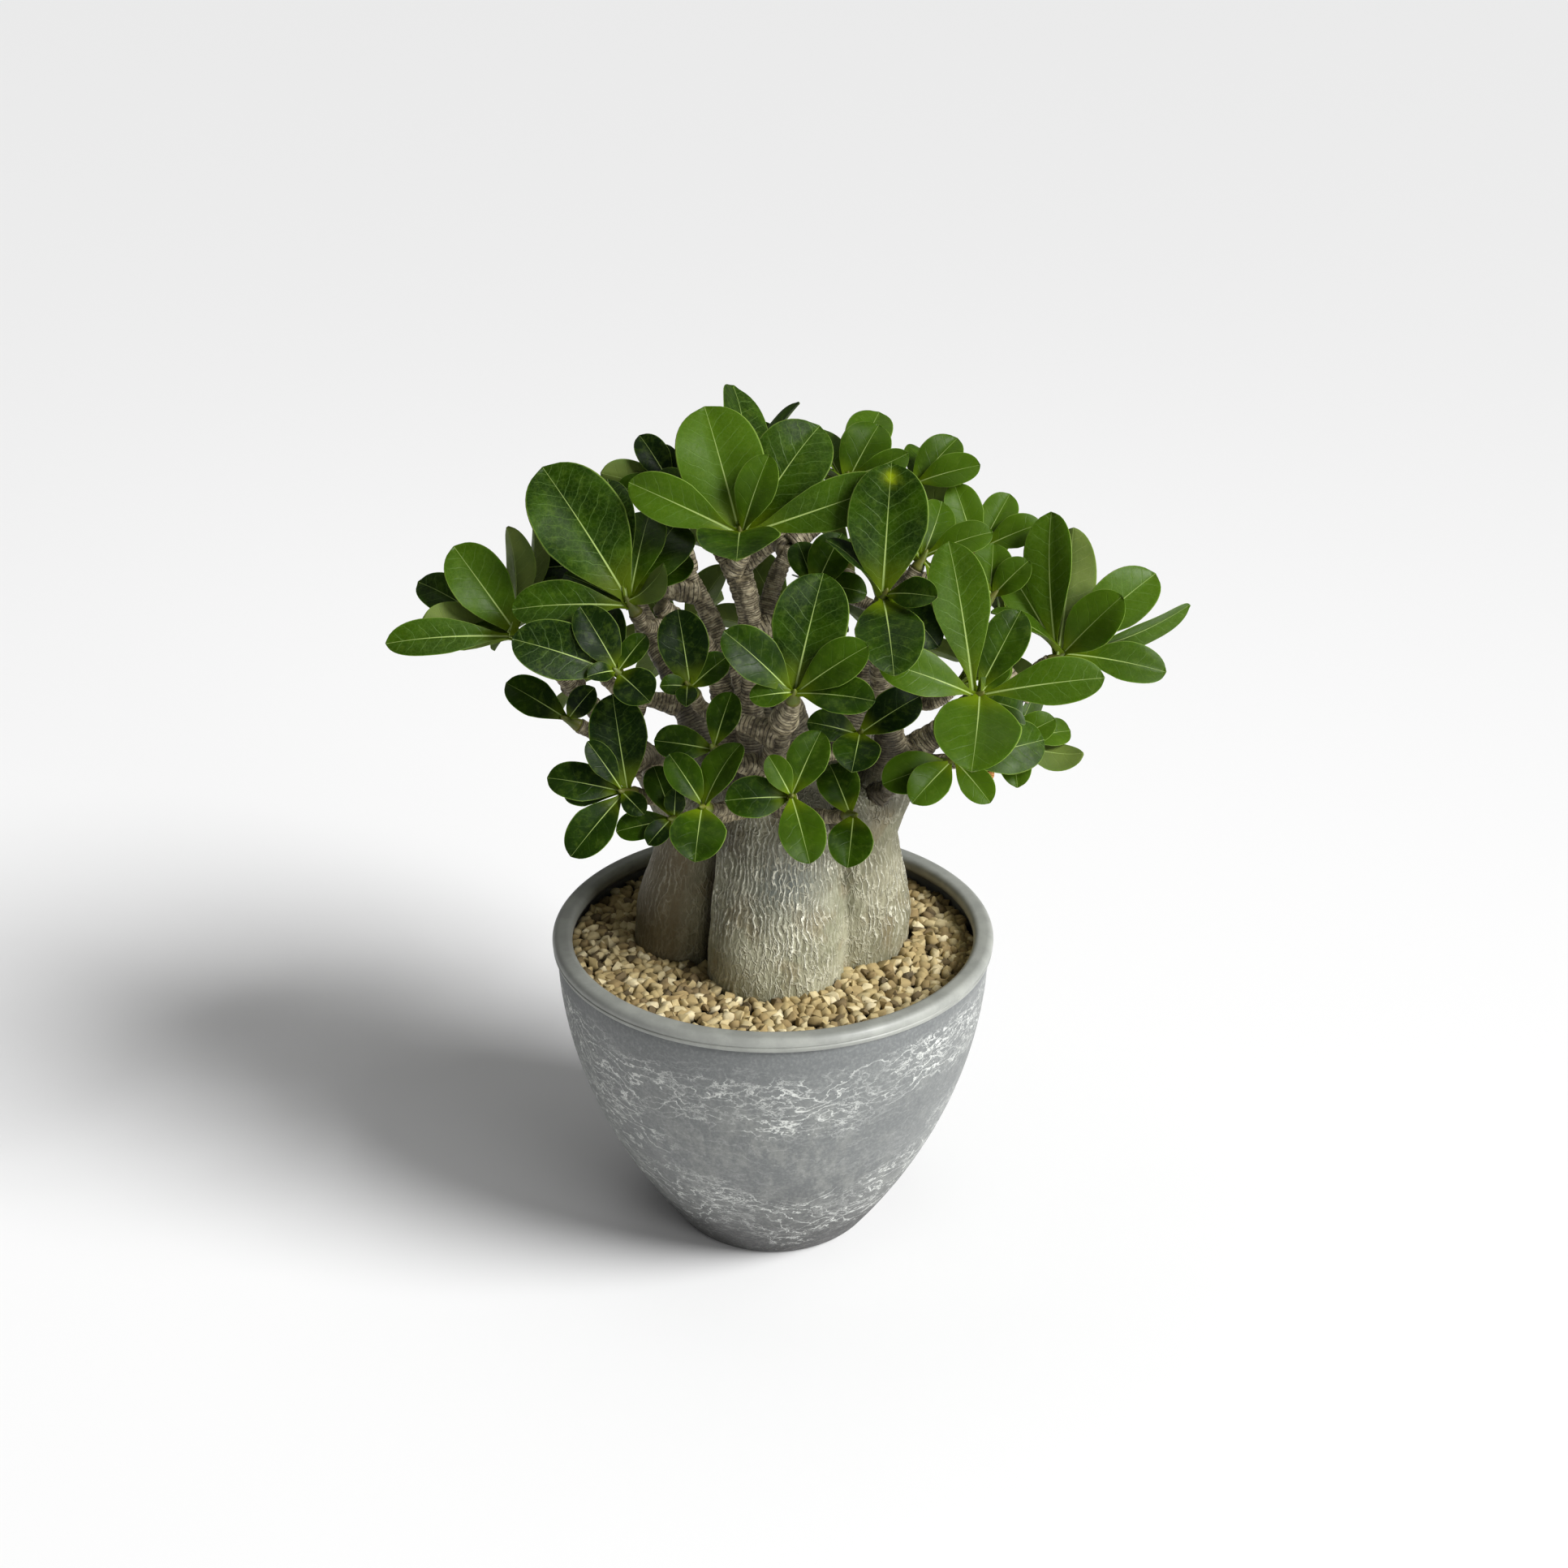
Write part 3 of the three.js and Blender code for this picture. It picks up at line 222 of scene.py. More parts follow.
# Leafy tips that the front view shows: place, number of leaves behind, and for each leaf
# its turn, lean, length, width and roll.
VIEW_RISE = 22
VIEW_FACING = np.array([0, -0.75, 0.65])
ROOT_SPREAD = 5
FRONT_TIPS = {
    "top": ([-13, -12, 338], 1, [
        [105, -5, 57, 36], [55, -8, 58, 33], [71, 18, 36, 17], [17, 5, 65, 21, 20],
        [154, 5, 50, 20, -20], [92, -30, 75, 26, 40], [-88, 72, 44, 34], [147, -30, 52, 16]]),
    "centre": ([9, -70, 291], 2, [
        [77, 0, 50, 30], [138, 5, 38, 20], [31, 10, 36, 18], [-12, 25, 34, 17], [185, 15, 18, 11]]),
    "right": ([84, -50, 282], 2, [
        [99, 0, 64, 24], [61, -5, 40, 19], [161, 12, 43, 20], [7, 8, 51, 20], [-100, 48, 44, 35],
        [45, -10, 18, 11]]),
    "upper_right": ([46, -30, 318], 2, [
        [87, -4, 55, 33], [-84, 48, 46, 28], [132, 0, 33, 16, 50], [-8, 35, 27, 14],
        [-48, 15, 31, 17]]),
    "upper_left": ([-59, -20, 311], 1, [
        [122, 0, 68, 38], [181, 8, 49, 21], [45, 25, 24, 15, 150], [156, -20, 33, 14],
        [80, -25, 44, 20], [58, -32, 50, 28], [33, -28, 44, 24], [101, -30, 54, 18]]),
    "middle_left": ([-63, -40, 288], 2, [
        [162, 5, 47, 25], [121, -5, 32, 18], [-41, 40, 23, 18], [52, 0, 19, 11], [200, 20, 14, 9]]),
    "far_left": ([-107, -15, 294], 0, [
        [127, 0, 48, 25], [168, 10, 41, 20, 160], [152, -15, 53, 18], [187, 0, 54, 17],
        [93, -5, 46, 20, 130], [82, -25, 54, 18, 125]]),
    "far_right": ([124, 0, 280], 0, [
        [93, 0, 62, 22, -30], [79, -28, 64, 24, 170], [120, -15, 48, 20], [41, -8, 55, 24],
        [46, 30, 38, 22], [26, -10, 59, 18, 70], [-4, 5, 44, 18], [145, 0, 38, 14, 50]]),
    "lower_centre": ([8, -70, 246], 0, [
        [182, 10, 27, 18], [66, 0, 29, 17], [120, 0, 19, 11], [-74, 30, 31, 19]]),
    "lower_front_left": ([-28, -72, 242], 0, [
        [122, 0, 26, 14], [61, -5, 30, 18, -30], [-96, 45, 28, 23]]),
    "lower_left": ([-61, -55, 241], 1, [
        [94, -5, 41, 24], [170, 5, 33, 17], [224, 15, 35, 18], [125, 10, 26, 11], [-45, 20, 14, 10]]),
    "low_left_small": ([-41, -60, 231], 0, [
        [192, 10, 25, 13], [85, 15, 13, 9], [119, -8, 24, 14], [230, 20, 15, 10]]),
    "inner_left": ([-34, -45, 284], 0, [
        [98, 0, 33, 21], [39, -5, 20, 13], [180, 15, 12, 9], [-90, 40, 12, 9]]),
    "inner_front": ([-24, -55, 261], 0, [
        [166, 5, 25, 15], [68, 0, 24, 14], [-60, 30, 12, 8]]),
    "left_behind": ([-88, -10, 254], 0, [
        [150, 0, 33, 17], [62, 0, 19, 12]]),
    "inner_right": ([36, -45, 263], 0, [
        [32, -5, 31, 18], [166, 10, 22, 14], [-103, 50, 24, 20]]),
    "low_right": ([34, -50, 228], 0, [
        [100, -10, 24, 18], [-97, 35, 25, 19]]),
    "right_middle": ([76, -35, 246], 1, [
        [198, 15, 30, 19], [225, 25, 28, 17], [-50, 20, 24, 14]]),
    "right_behind": ([103, -10, 243], 1, [
        [27, 0, 24, 14], [-9, -5, 33, 15, 160], [-86, 35, 22, 14], [8, -30, 29, 13]]),
    "behind_top_right": ([32, 35, 347], 2, [
        [61, -10, 31, 22], [65, -35, 44, 20], [165, 10, 22, 16, 60], [37, -10, 28, 14, 50]]),
    "behind_upper_right": ([61, 45, 341], 2, [
        [50, -10, 32, 18], [-57, 10, 30, 14], [-80, 10, 30, 16], [10, 0, 30, 16]]),
    "inner_upper_right": ([18, -5, 313], 1, [
        [65, -5, 27, 18], [110, -20, 22, 14], [-10, 0, 22, 14]]),
    "high_right_back": ([90, 30, 317], 2, [
        [114, -5, 32, 17], [60, -15, 30, 16], [20, 0, 28, 15]]),
    "inner_high_right": ([64, 6, 322], 2, [
        [110, 0, 34, 17], [-55, 10, 28, 14], [20, 10, 30, 15]]),
    "high_right": ([94, 5, 305], 1, [
        [85, 0, 24, 18], [43, 0, 22, 14], [150, -5, 22, 13]]),
    "behind_top_left": ([-43, 40, 342], 2, [
        [165, 5, 33, 17, 150], [121, 0, 28, 14], [101, -5, 20, 12], [178, -15, 24, 13]]),
    "behind_left": ([-76, 20, 314], 2, [
        [130, -10, 30, 17], [170, 0, 30, 15], [60, -20, 30, 16]]),
}

# Leafy tips round the back, in tiers.
BACK_TIERS = [
    {"height": 248, "reach": 94, "bearings": [22, 54, 86, 118, 150], "leaves": 5},
    {"height": 284, "reach": 104, "bearings": [10, 38, 69, 100, 131, 163], "leaves": 6},
    {"height": 320, "reach": 70, "bearings": [46, 82, 118], "leaves": 7},
    {"height": 338, "reach": 34, "bearings": [104], "leaves": 6},
]
BACK_CENTRE = [0, 14]
BACK_LEAF_LENGTH = [30, 48]
BACK_LEAF_RATIO = 0.5
GOLDEN_ANGLE = 137.508
BACK_RISE = [12, 52]
BEHIND_RISE = [-10, 35]
BEHIND_LEAST = 0.2
LEAST_APART = 38
SPIRAL_TURNS = 36
SPIRAL_START = -3
SPIRAL_PITCH = 1.5
LEAF_SEED = 13

# Clearing of leaves that would cross
LEAF_CLEARANCE = 2.6
SISTER_CLEARANCE = 1.2
SISTER_ROOTS = 0.45
EDGE_CLEARANCE = 1.4
TURN_ASIDE = [0, 7, 14, 21, 28, 36, 44]
ASIDE_WAYS = 8
SHORTER = [1, 0.86, 0.72]
OUTLINE_STEPS = 16

# ---------------------------------------------------------------- helpers


def make_random(seed):
    """A seeded random number source, the same as the solids use."""
    state = seed

    def draw():
        nonlocal state
        state = state * 16807 % 2147483647
        return state / 2147483647

    return draw


def array(*values):
    return np.array(values, float)


def unit(v):
    return v / np.linalg.norm(v)


def lerp(a, b, share):
    return a + (b - a) * share


def smoothstep(low, high, x):
    t = np.clip((x - low) / (high - low), 0, 1)
    return t * t * (3 - 2 * t)


def swung(start, towards, angle):
    """A way turned towards another one by an angle in radians."""
    return start * math.cos(angle) + towards * math.sin(angle)


def direction(angle, rise, right, over, forward):
    """A direction turned by an angle in the plane of two others, and raised towards a third."""
    flat = swung(right, over, math.radians(angle))
    return unit(swung(flat, forward, math.radians(rise)))


def circle(count):
    """Angles evenly round a circle, in radians."""
    return np.linspace(0, 2 * np.pi, count, endpoint=False)


def level_ring(reach, angles, z, centre=(0, 0)):
    """Points at one level round a centre, at angles in radians."""
    x, y = centre[0] + reach * np.cos(angles), centre[1] + reach * np.sin(angles)
    return np.column_stack([x, y, np.full(len(angles), z)])


def curve_points(rows, shares):
    """Points on a centripetal Catmull-Rom curve, at shares of its run of rows of x, y, z."""
    points = np.array(rows, float)[:, :3]
    last = len(points) - 1
    padded = np.vstack([2 * points[0] - points[1], points, 2 * points[-1] - points[-2]])
    spans = np.linalg.norm(np.diff(padded, axis=0), axis=1) ** 0.5
    found = []
    for share in np.atleast_1d(shares):
        low = min(int(share * last), last - 1)
        w = share * last - low
        p0, p1, p2, p3 = padded[low : low + 4]
        d0, d1, d2 = spans[low : low + 3]
        start = ((p1 - p0) / d0 - (p2 - p0) / (d0 + d1) + (p2 - p1) / d1) * d1
        end = ((p2 - p1) / d1 - (p3 - p1) / (d1 + d2) + (p3 - p2) / d2) * d1
        square = 3 * (p2 - p1) - 2 * start - end
        cube = 2 * (p1 - p2) + start + end
        found.append(p1 + start * w + square * w**2 + cube * w**3)
    return np.array(found)


def curve_length(rows):
    path = curve_points(rows, np.linspace(0, 1, 201))
    return np.linalg.norm(np.diff(path, axis=0), axis=1).sum()


def radii_along(rows, shares):
    steps = np.asarray(shares) * (len(rows) - 1)
    return np.interp(steps, range(len(rows)), [row[3] for row in rows])


def headings(centres):
    """The way along a run of centres, at each of them."""
    ways = np.gradient(centres, axis=0)
    return ways / np.linalg.norm(ways, axis=1, keepdims=True)


def tube_frames(centres):
    """Two directions across a run of centres, at each of them, turning as little as they can."""
    heading = headings(centres)
    first = unit(np.cross(heading[0], [0.31, 0.95, 0.05]))
    firsts = []
    for along in heading:
        first = unit(first - along * first.dot(along))
        firsts.append(first)
    firsts = np.array(firsts)
    return firsts, np.cross(heading, firsts)


def closed_loft(rings, first, last):
    """Vertices and faces of a closed skin over rings, between a first and a last point."""
    rings = np.asarray(rings)
    count, sides = rings.shape[:2]
    vertices = np.vstack([rings.reshape(-1, 3), first, last])
    start, end = count * sides, count * sides + 1
    faces = []
    for k in range(sides):
        n = (k + 1) % sides
        faces.append((start, n, k))
        for ring in range(count - 1):
            low, high = ring * sides, (ring + 1) * sides
            faces.append((low + k, low + n, high + n, high + k))
        faces.append(((count - 1) * sides + k, (count - 1) * sides + n, end))
    return vertices, faces


def merged(parts):
    """The vertices and faces of several meshes as one."""
    vertices, faces, count = [], [], 0
    for points, polygons, *_ in parts:
        vertices.append(points)
        faces.extend(tuple(i + count for i in polygon) for polygon in polygons)
        count += len(points)
    return np.vstack(vertices), faces


def make_object(name, vertices, faces, *materials):
    """An object in the scene from vertices in millimetres."""
    mesh = bpy.data.meshes.new(name)
    mesh.from_pydata((np.asarray(vertices) * MM).tolist(), [], faces)
    for material in materials:
        mesh.materials.append(material)
    mesh.shade_smooth()
    piece = bpy.data.objects.new(name, mesh)
    bpy.context.scene.collection.objects.link(piece)
    return piece


def make_piece(name, parts, *materials):
    """One object from parts: vertices, faces, and attributes of each vertex or of the whole part."""
    piece = make_object(name, *merged(parts), *materials)
    for key in parts[0][2]:
        values = [np.broadcast_to(looks[key], (len(points), *np.shape(looks[key])[1:]))
                  for points, _, looks in parts]
        set_attributes(piece.data, **{key: np.concatenate(values)})
    return piece


def face_outward(mesh):
    """Turns the faces of closed parts outward."""
    sheet = bmesh.new()
    sheet.from_mesh(mesh)
    bmesh.ops.recalc_face_normals(sheet, faces=sheet.faces)
    sheet.to_mesh(mesh)
    sheet.free()


def applied(piece):
    """Replaces the object's mesh by what its modifiers make of it."""
    bpy.context.view_layer.update()
    graph = bpy.context.evaluated_depsgraph_get()
    mesh = bpy.data.meshes.new_from_object(piece.evaluated_get(graph))
    piece.modifiers.clear()
    old, piece.data = piece.data, mesh
    bpy.data.meshes.remove(old)
    return piece


def set_attributes(mesh, **attributes):
    """Writes under each name one number, or three, for each vertex."""
    for name, values in attributes.items():
        values = np.asarray(values, np.float32)
        kind, key = ("FLOAT", "value") if values.ndim == 1 else ("FLOAT_VECTOR", "vector")
        mesh.attributes.new(name, kind, "POINT").data.foreach_set(key, values.ravel())


def vertex_places(mesh):
    places = np.zeros(len(mesh.vertices) * 3, np.float32)
    mesh.vertices.foreach_get("co", places)
    return places.reshape(-1, 3).astype(float) / MM


def vertex_normals(mesh):
    normals = np.zeros(len(mesh.vertices) * 3, np.float32)
    mesh.vertex_normals.foreach_get("vector", normals)
    return normals.reshape(-1, 3).astype(float)


def put_places(mesh, places):
    mesh.vertices.foreach_set("co", (places * MM).astype(np.float32).ravel())
    mesh.update()


def noise_at(places, size, shift=0.0):
    """Smooth noise from -1 to 1 with features of a size in mm."""
    return np.array([noise.noise(Vector(p)) for p in np.asarray(places) / size + shift])


# ---------------------------------------------------------------- materials


class Wire:
    """An output of a node. Arithmetic on it adds the nodes that work it out."""

    def __init__(self, finish, socket):
        self.finish, self.socket = finish, socket

    def __add__(self, other):
        return self.finish.math("ADD", self, other)

    def __sub__(self, other):
        return self.finish.math("SUBTRACT", self, other)

    def __rsub__(self, other):
        return self.finish.math("SUBTRACT", other, self)

    def __mul__(self, other):
        return self.finish.math("MULTIPLY", self, other)

    def __truediv__(self, other):
        return self.finish.math("DIVIDE", self, other)

    def __abs__(self):
        return self.finish.math("ABSOLUTE", self)


class Finish:
    """A material, with calls that add its nodes. An input is a value or a wire. Places and
    heights are in metres, and the sizes of features in mm."""

    def __init__(self, name, roughness=0.5):
        self.material = bpy.data.materials.new(name)
        self.material.use_nodes = True
        self.nodes = self.material.node_tree.nodes
        self.shader = self.nodes["Principled BSDF"]
        self.shader.inputs["Roughness"].default_value = roughness

    def put(self, socket, value):
        if isinstance(value, Wire):
            self.material.node_tree.links.new(value.socket, socket)
        else:
            socket.default_value = value

    def node(self, kind, inputs, output=0, **settings):
        """Adds a node and gives one of its outputs."""
        made = self.nodes.new("ShaderNode" + kind)
        for key, value in settings.items():
            setattr(made, key, value)
        for key, value in inputs.items():
            self.put(made.inputs[key], value)
        return Wire(self, made.outputs[output])

    def place(self, stretch=(1, 1, 1)):
        """Place on the object in metres, stretched along its axes."""
        found = self.node("TexCoord", {}, "Object")
        return self.node("VectorMath", {0: found, 1: stretch}, operation="MULTIPLY")

    def attribute(self, name, part="Fac"):
        return self.node("Attribute", {}, part, attribute_name=name)

    def split(self, vector):
        """The three parts of a vector."""
        made = self.node("SeparateXYZ", {0: vector}).socket.node
        return [Wire(self, part) for part in made.outputs]

    def noise(self, place, size, detail=3.0, roughness=0.5, distortion=0.0):
        """Noise with features of a size in mm."""
        inputs = {"Vector": place, "Scale": 1 / (size * MM), "Detail": detail,
                  "Roughness": roughness, "Distortion": distortion}
        return self.node("TexNoise", inputs, "Fac")

    def cells(self, place, size, feature="F1"):
        """Distance to the middle of cells of a size in mm, or to the edges between them."""
        inputs = {"Vector": place, "Scale": 1 / (size * MM)}
        return self.node("TexVoronoi", inputs, "Distance", feature=feature)

    def math(self, operation, a, b=0.0):
        return self.node("Math", {0: a, 1: b}, operation=operation)

    def largest(self, a, b):
        return self.math("MAXIMUM", a, b)

    def fract(self, a):
        return self.math("FRACT", a)

    def band(self, value, low, high, start=0.0, end=1.0):
        """Goes smoothly from start to end as the value goes from low to high."""
        inputs = {"Value": value, "From Min": low, "From Max": high, "To Min": start, "To Max": end}
        return self.node("MapRange", inputs, "Result", interpolation_type="SMOOTHSTEP")

    def mix(self, share, a, b):
        """Goes from a to b, each a wire or the 0-255 values of a colour."""
        a, b = (color(*end) if isinstance(end, tuple) else end for end in (a, b))
        return self.node("Mix", {0: share, 6: a, 7: b}, 2, data_type="RGBA")

    def coats(self, tint, *layers):
        """The tint under layers, each a share and a colour."""
        for share, coat in layers:
            tint = self.mix(share, tint, coat)
        return tint

    def warped(self, place, push, reach):
        """A place pushed by the colour of noise, as far as a reach in metres."""
        inputs = {0: push, 1: (reach,) * 3, 2: place}
        return self.node("VectorMath", inputs, operation="MULTIPLY_ADD")

    def bump(self, height, distance, strength=1.0):
        """Relief of a depth in mm."""
        inputs = {"Height": height, "Distance": distance * MM, "Strength": strength}
        return self.node("Bump", inputs, "Normal")

    def set(self, **inputs):
        for key, value in inputs.items():
            self.put(self.shader.inputs[key.replace("_", " ").title().replace("Ior", "IOR")], value)
        return self.material


def color(red, green, blue):
    """A colour given as 0-255 display values."""
    def linear(value):
        value /= 255
        return value / 12.92 if value <= 0.04045 else ((value + 0.055) / 1.055) ** 2.4

    return (linear(red), linear(green), linear(blue), 1.0)


def make_pot_finish():
    """Blue-grey plastic with clouds, and pale crinkled veins in two belts."""
    f = Finish("pot_marbled")
    place = f.place()
    across, _, height = f.split(place)
    sway = (f.noise(place, 70, 2) - 0.5) * 0.06
    level = height + sway
    dip = abs(across) * 0.3

    def belt(level, start, full, fading, end):
        return f.band(level, start, full) * f.band(level, fading, end, 1, 0)

    upper = belt(level, 0.092, 0.110, 0.130, 0.138)
    lower = belt(level - dip, 0.008, 0.024, 0.046, 0.06)
    left = f.band(across, -0.03, -0.065) * belt(level, 0.054, 0.08, 0.115, 0.134)
    belts = f.largest(f.largest(upper, lower), left)

    flat = f.place((1, 1, 2.3))
    crumple = f.noise(f.place((1, 1, 1.5)), 27, 7, 0.6, 0.35)
    steps = f.fract(level / 0.0085 + crumple * 7.5)
    contour = f.band(abs(steps - 0.5), 0.0, 0.125, 1, 0)
    push = f.node("TexNoise", {"Vector": flat, "Scale": 90, "Detail": 5, "Roughness": 0.7}, "Color")
    crinkled = f.warped(flat, push, 0.02)
    net = f.band(f.cells(crinkled, 10, "DISTANCE_TO_EDGE"), 0.0, 0.065, 1, 0)
    patch = f.band(f.noise(f.place((1, 1, 1.6)), 24, 3, 0.6), 0.38, 0.52)
    other = f.band(f.noise(f.place((1, 1, 1.5)), 33, 3, 0.6), 0.4, 0.6, 1, 0.15)
    patch = f.largest(patch, 0.3)
    veins = f.largest(contour * patch, net * (other * 0.7))
    fade = f.band(f.noise(place, 6, 3, 0.6), 0.3, 0.55, 0.5, 1)
    below_rim = f.band(height, 0.131, 0.139, 1, 0)
    reach = f.largest(belts, patch * 0.16)
    veins = veins * fade * (reach * below_rim)

    clouds = f.noise(f.place((1, 1, 0.3)), 6, 8, 0.72)
    clouds = f.band(clouds, 0.42, 0.62) * f.band(f.noise(place, 55, 2), 0.35, 0.6, 0.25, 1)
    drips = clouds * belt(height, 0.02, 0.05, 0.105, 0.134) * 0.55
    # Darker towards the foot and nearly black at the base: partly the pot's own darker foot, partly
    # painted shade.
    base = f.mix(f.band(height, 0.008, 0.078), (20, 19, 18), (105, 108, 108))
    grain = f.noise(place, 1.4, 4, 0.6)
    tint = f.coats(
        base,
        (drips, (140, 142, 137)),
        (belts * 0.18, (132, 135, 132)),
        (veins, (214, 216, 211)),
        (f.band(grain, 0.45, 0.7, 0, 0.16), (176, 178, 172)),
        (f.band(grain, 0.3, 0.5, 0.16, 0), (70, 72, 72)),
    )
    rim = f.band(height, 0.1412, 0.1432)
    worn = f.mix(f.band(f.noise(place, 14, 4, 0.6), 0.35, 0.65), (142, 144, 138), (158, 160, 153))
    tint = f.mix(rim * 0.9, tint, worn)
    tint = f.mix(f.attribute("inner"), tint, (104, 106, 106))
    rough = f.band(f.noise(place, 30, 4), 0.3, 0.7, 0.38, 0.5)
    return f.set(base_color=tint, roughness=rough, normal=f.bump(grain, 0.05, 0.35))


def make_gravel_finish():
    """Dry pumice: beige grains, some tan, a few grey-brown, with fine pores."""
    f = Finish("gravel_pumice", 0.85)
    place = f.place()
    ramp = f.node("ValToRGB", {0: f.attribute("tone")})
    stops = ramp.socket.node.color_ramp.elements
    stops[0].color, stops[1].color = color(80, 70, 49), color(234, 221, 182)
    for position, *tint in [(0.07, 112, 96, 66), (0.2, 152, 131, 88), (0.55, 184, 165, 116),
                            (0.85, 210, 194, 149)]:
        stops.new(position).color = color(*tint)
    mottle = f.band(f.noise(place, 2.2, 4, 0.6), 0.35, 0.7)
    tint = f.mix(mottle * 0.25, ramp, (158, 132, 84))
    # Painted shade: grains go darker with depth under the crest, and the layer under them goes nearly
    # black.
    tint = f.mix(f.attribute("deep"), tint, (46, 37, 24))
    pores = f.noise(place, 0.9, 4, 0.7)
    return f.set(base_color=tint, normal=f.bump(pores, 0.25, 0.5))


def make_mix_finish():
    """Dark damp potting mix."""
    f = Finish("potting_mix_earth", 0.95)
    place = f.place()
    crumbs = f.noise(place, 3, 5, 0.7)
    tint = f.mix(f.band(crumbs, 0.35, 0.65), (58, 44, 32), (104, 84, 60))
    return f.set(base_color=tint, normal=f.bump(f.cells(place, 3.5), 1.2, 0.8))


def make_bark_finish():
    """Thin grey bark: pale wavy lines up the caudex, ring scars round the branches. It has painted
    shade on the shaded lobes, in the creases and under the crown, and on the twigs a painted highlight
    on the ring ridges and painted shade in their grooves.
    """
    f = Finish("bark_grey", 0.6)
    place = f.place()
    slender = f.attribute("slender")
    stout_share = 1.0 - slender
    small = (f.noise(f.place((1, 1, 0.6)), 2.2, 3) - 0.5) * 1.1
    stripes = f.fract(f.attribute("stripe") + small)
    off = abs(stripes - 0.5)
    broken = f.band(f.noise(f.place((1, 1, 0.4)), 3.6, 3), 0.38, 0.52)
    lined = f.attribute("lined")
    line = f.band(off, 0.02, 0.18, 1, 0) * broken * lined
    trough = f.band(off, 0.2, 0.42) * lined
    push = f.node("TexNoise", {"Vector": place, "Scale": 300, "Detail": 3}, "Color")
    crinkled = f.warped(f.place((1, 1, 0.36)), push, 0.0026)
    net = f.band(f.cells(crinkled, 2.5, "DISTANCE_TO_EDGE"), 0.0, 0.15, 1, 0)
    net = net * f.band(f.noise(place, 7, 3), 0.4, 0.6, 0.25, 1)
    # The net is fainter on the lobes with painted shade.
    net = net * (1.0 - f.attribute("shade") * 0.8)
    fine = f.noise(f.place((1, 1, 0.45)), 0.9, 4, 0.65)
    stout = f.mix(f.band(f.noise(place, 26, 3), 0.35, 0.65), (128, 128, 101), (168, 166, 140))
    stout = f.coats(
        stout,
        (f.band(f.noise(place, 15, 3), 0.52, 0.68, 0, 0.5), (134, 116, 80)),
        # Painted shade on the shaded lobes, partly their own browner tone.
        (f.attribute("shade") * 0.9, (91, 77, 45)),
        (f.attribute("bluish") * 0.85, (78, 88, 90)),
        (trough * 0.6, (92, 87, 64)),
        (net * 0.5, (214, 210, 186)),
        (line * 0.95, (240, 238, 218)),
        (f.band(fine, 0.3, 0.5, 1, 0) * 0.4, (84, 78, 56)),
        # Painted shade in the creases between the lobes, where the fissure also cuts in.
        (f.attribute("fissure"), (48, 38, 24)),
    )
    ring = f.attribute("ring")
    patchy = f.noise(place, 3, 4, 0.6)
    drift = f.noise(place, 6, 3) * 1.3
    turn = f.fract(f.attribute("run") * 0.75 + drift)
    seam = f.band(abs(turn - 0.5), 0.03, 0.2, 1, 0)
    seam = seam * f.band(f.noise(place, 3.5, 3), 0.34, 0.5)
    # Painted highlight on the ring ridges.
    crest = f.band(ring, 0.6, 0.95) * f.band(patchy, 0.42, 0.6)
    thin = f.coats(
        f.mix(f.band(patchy, 0.3, 0.7), (84, 75, 54), (160, 148, 118)),
        (crest * 0.7, (186, 176, 146)),
        # Darker ring grooves: partly the scars' own colour, partly painted shade.
        (f.band(ring, 0.05, 0.4, 0.75, 0), (50, 42, 28)),
        (seam * 0.7, (46, 38, 24)),
    )
    tint = f.coats(
        f.mix(slender, stout, thin),
        # Painted shade under and within the crown on the caudex; on the torn stubs, their own darker
        # colour.
        (f.attribute("dark") * 0.74, (50, 45, 34)),
        (f.attribute("dry"), (206, 140, 66)),
    )
    raised = f.largest(line, net * 0.6) * stout_share
    raised = raised - seam * (slender * 0.6)
    relief = raised + fine * 0.4
    return f.set(base_color=tint, normal=f.bump(relief, 0.9, 1.0))


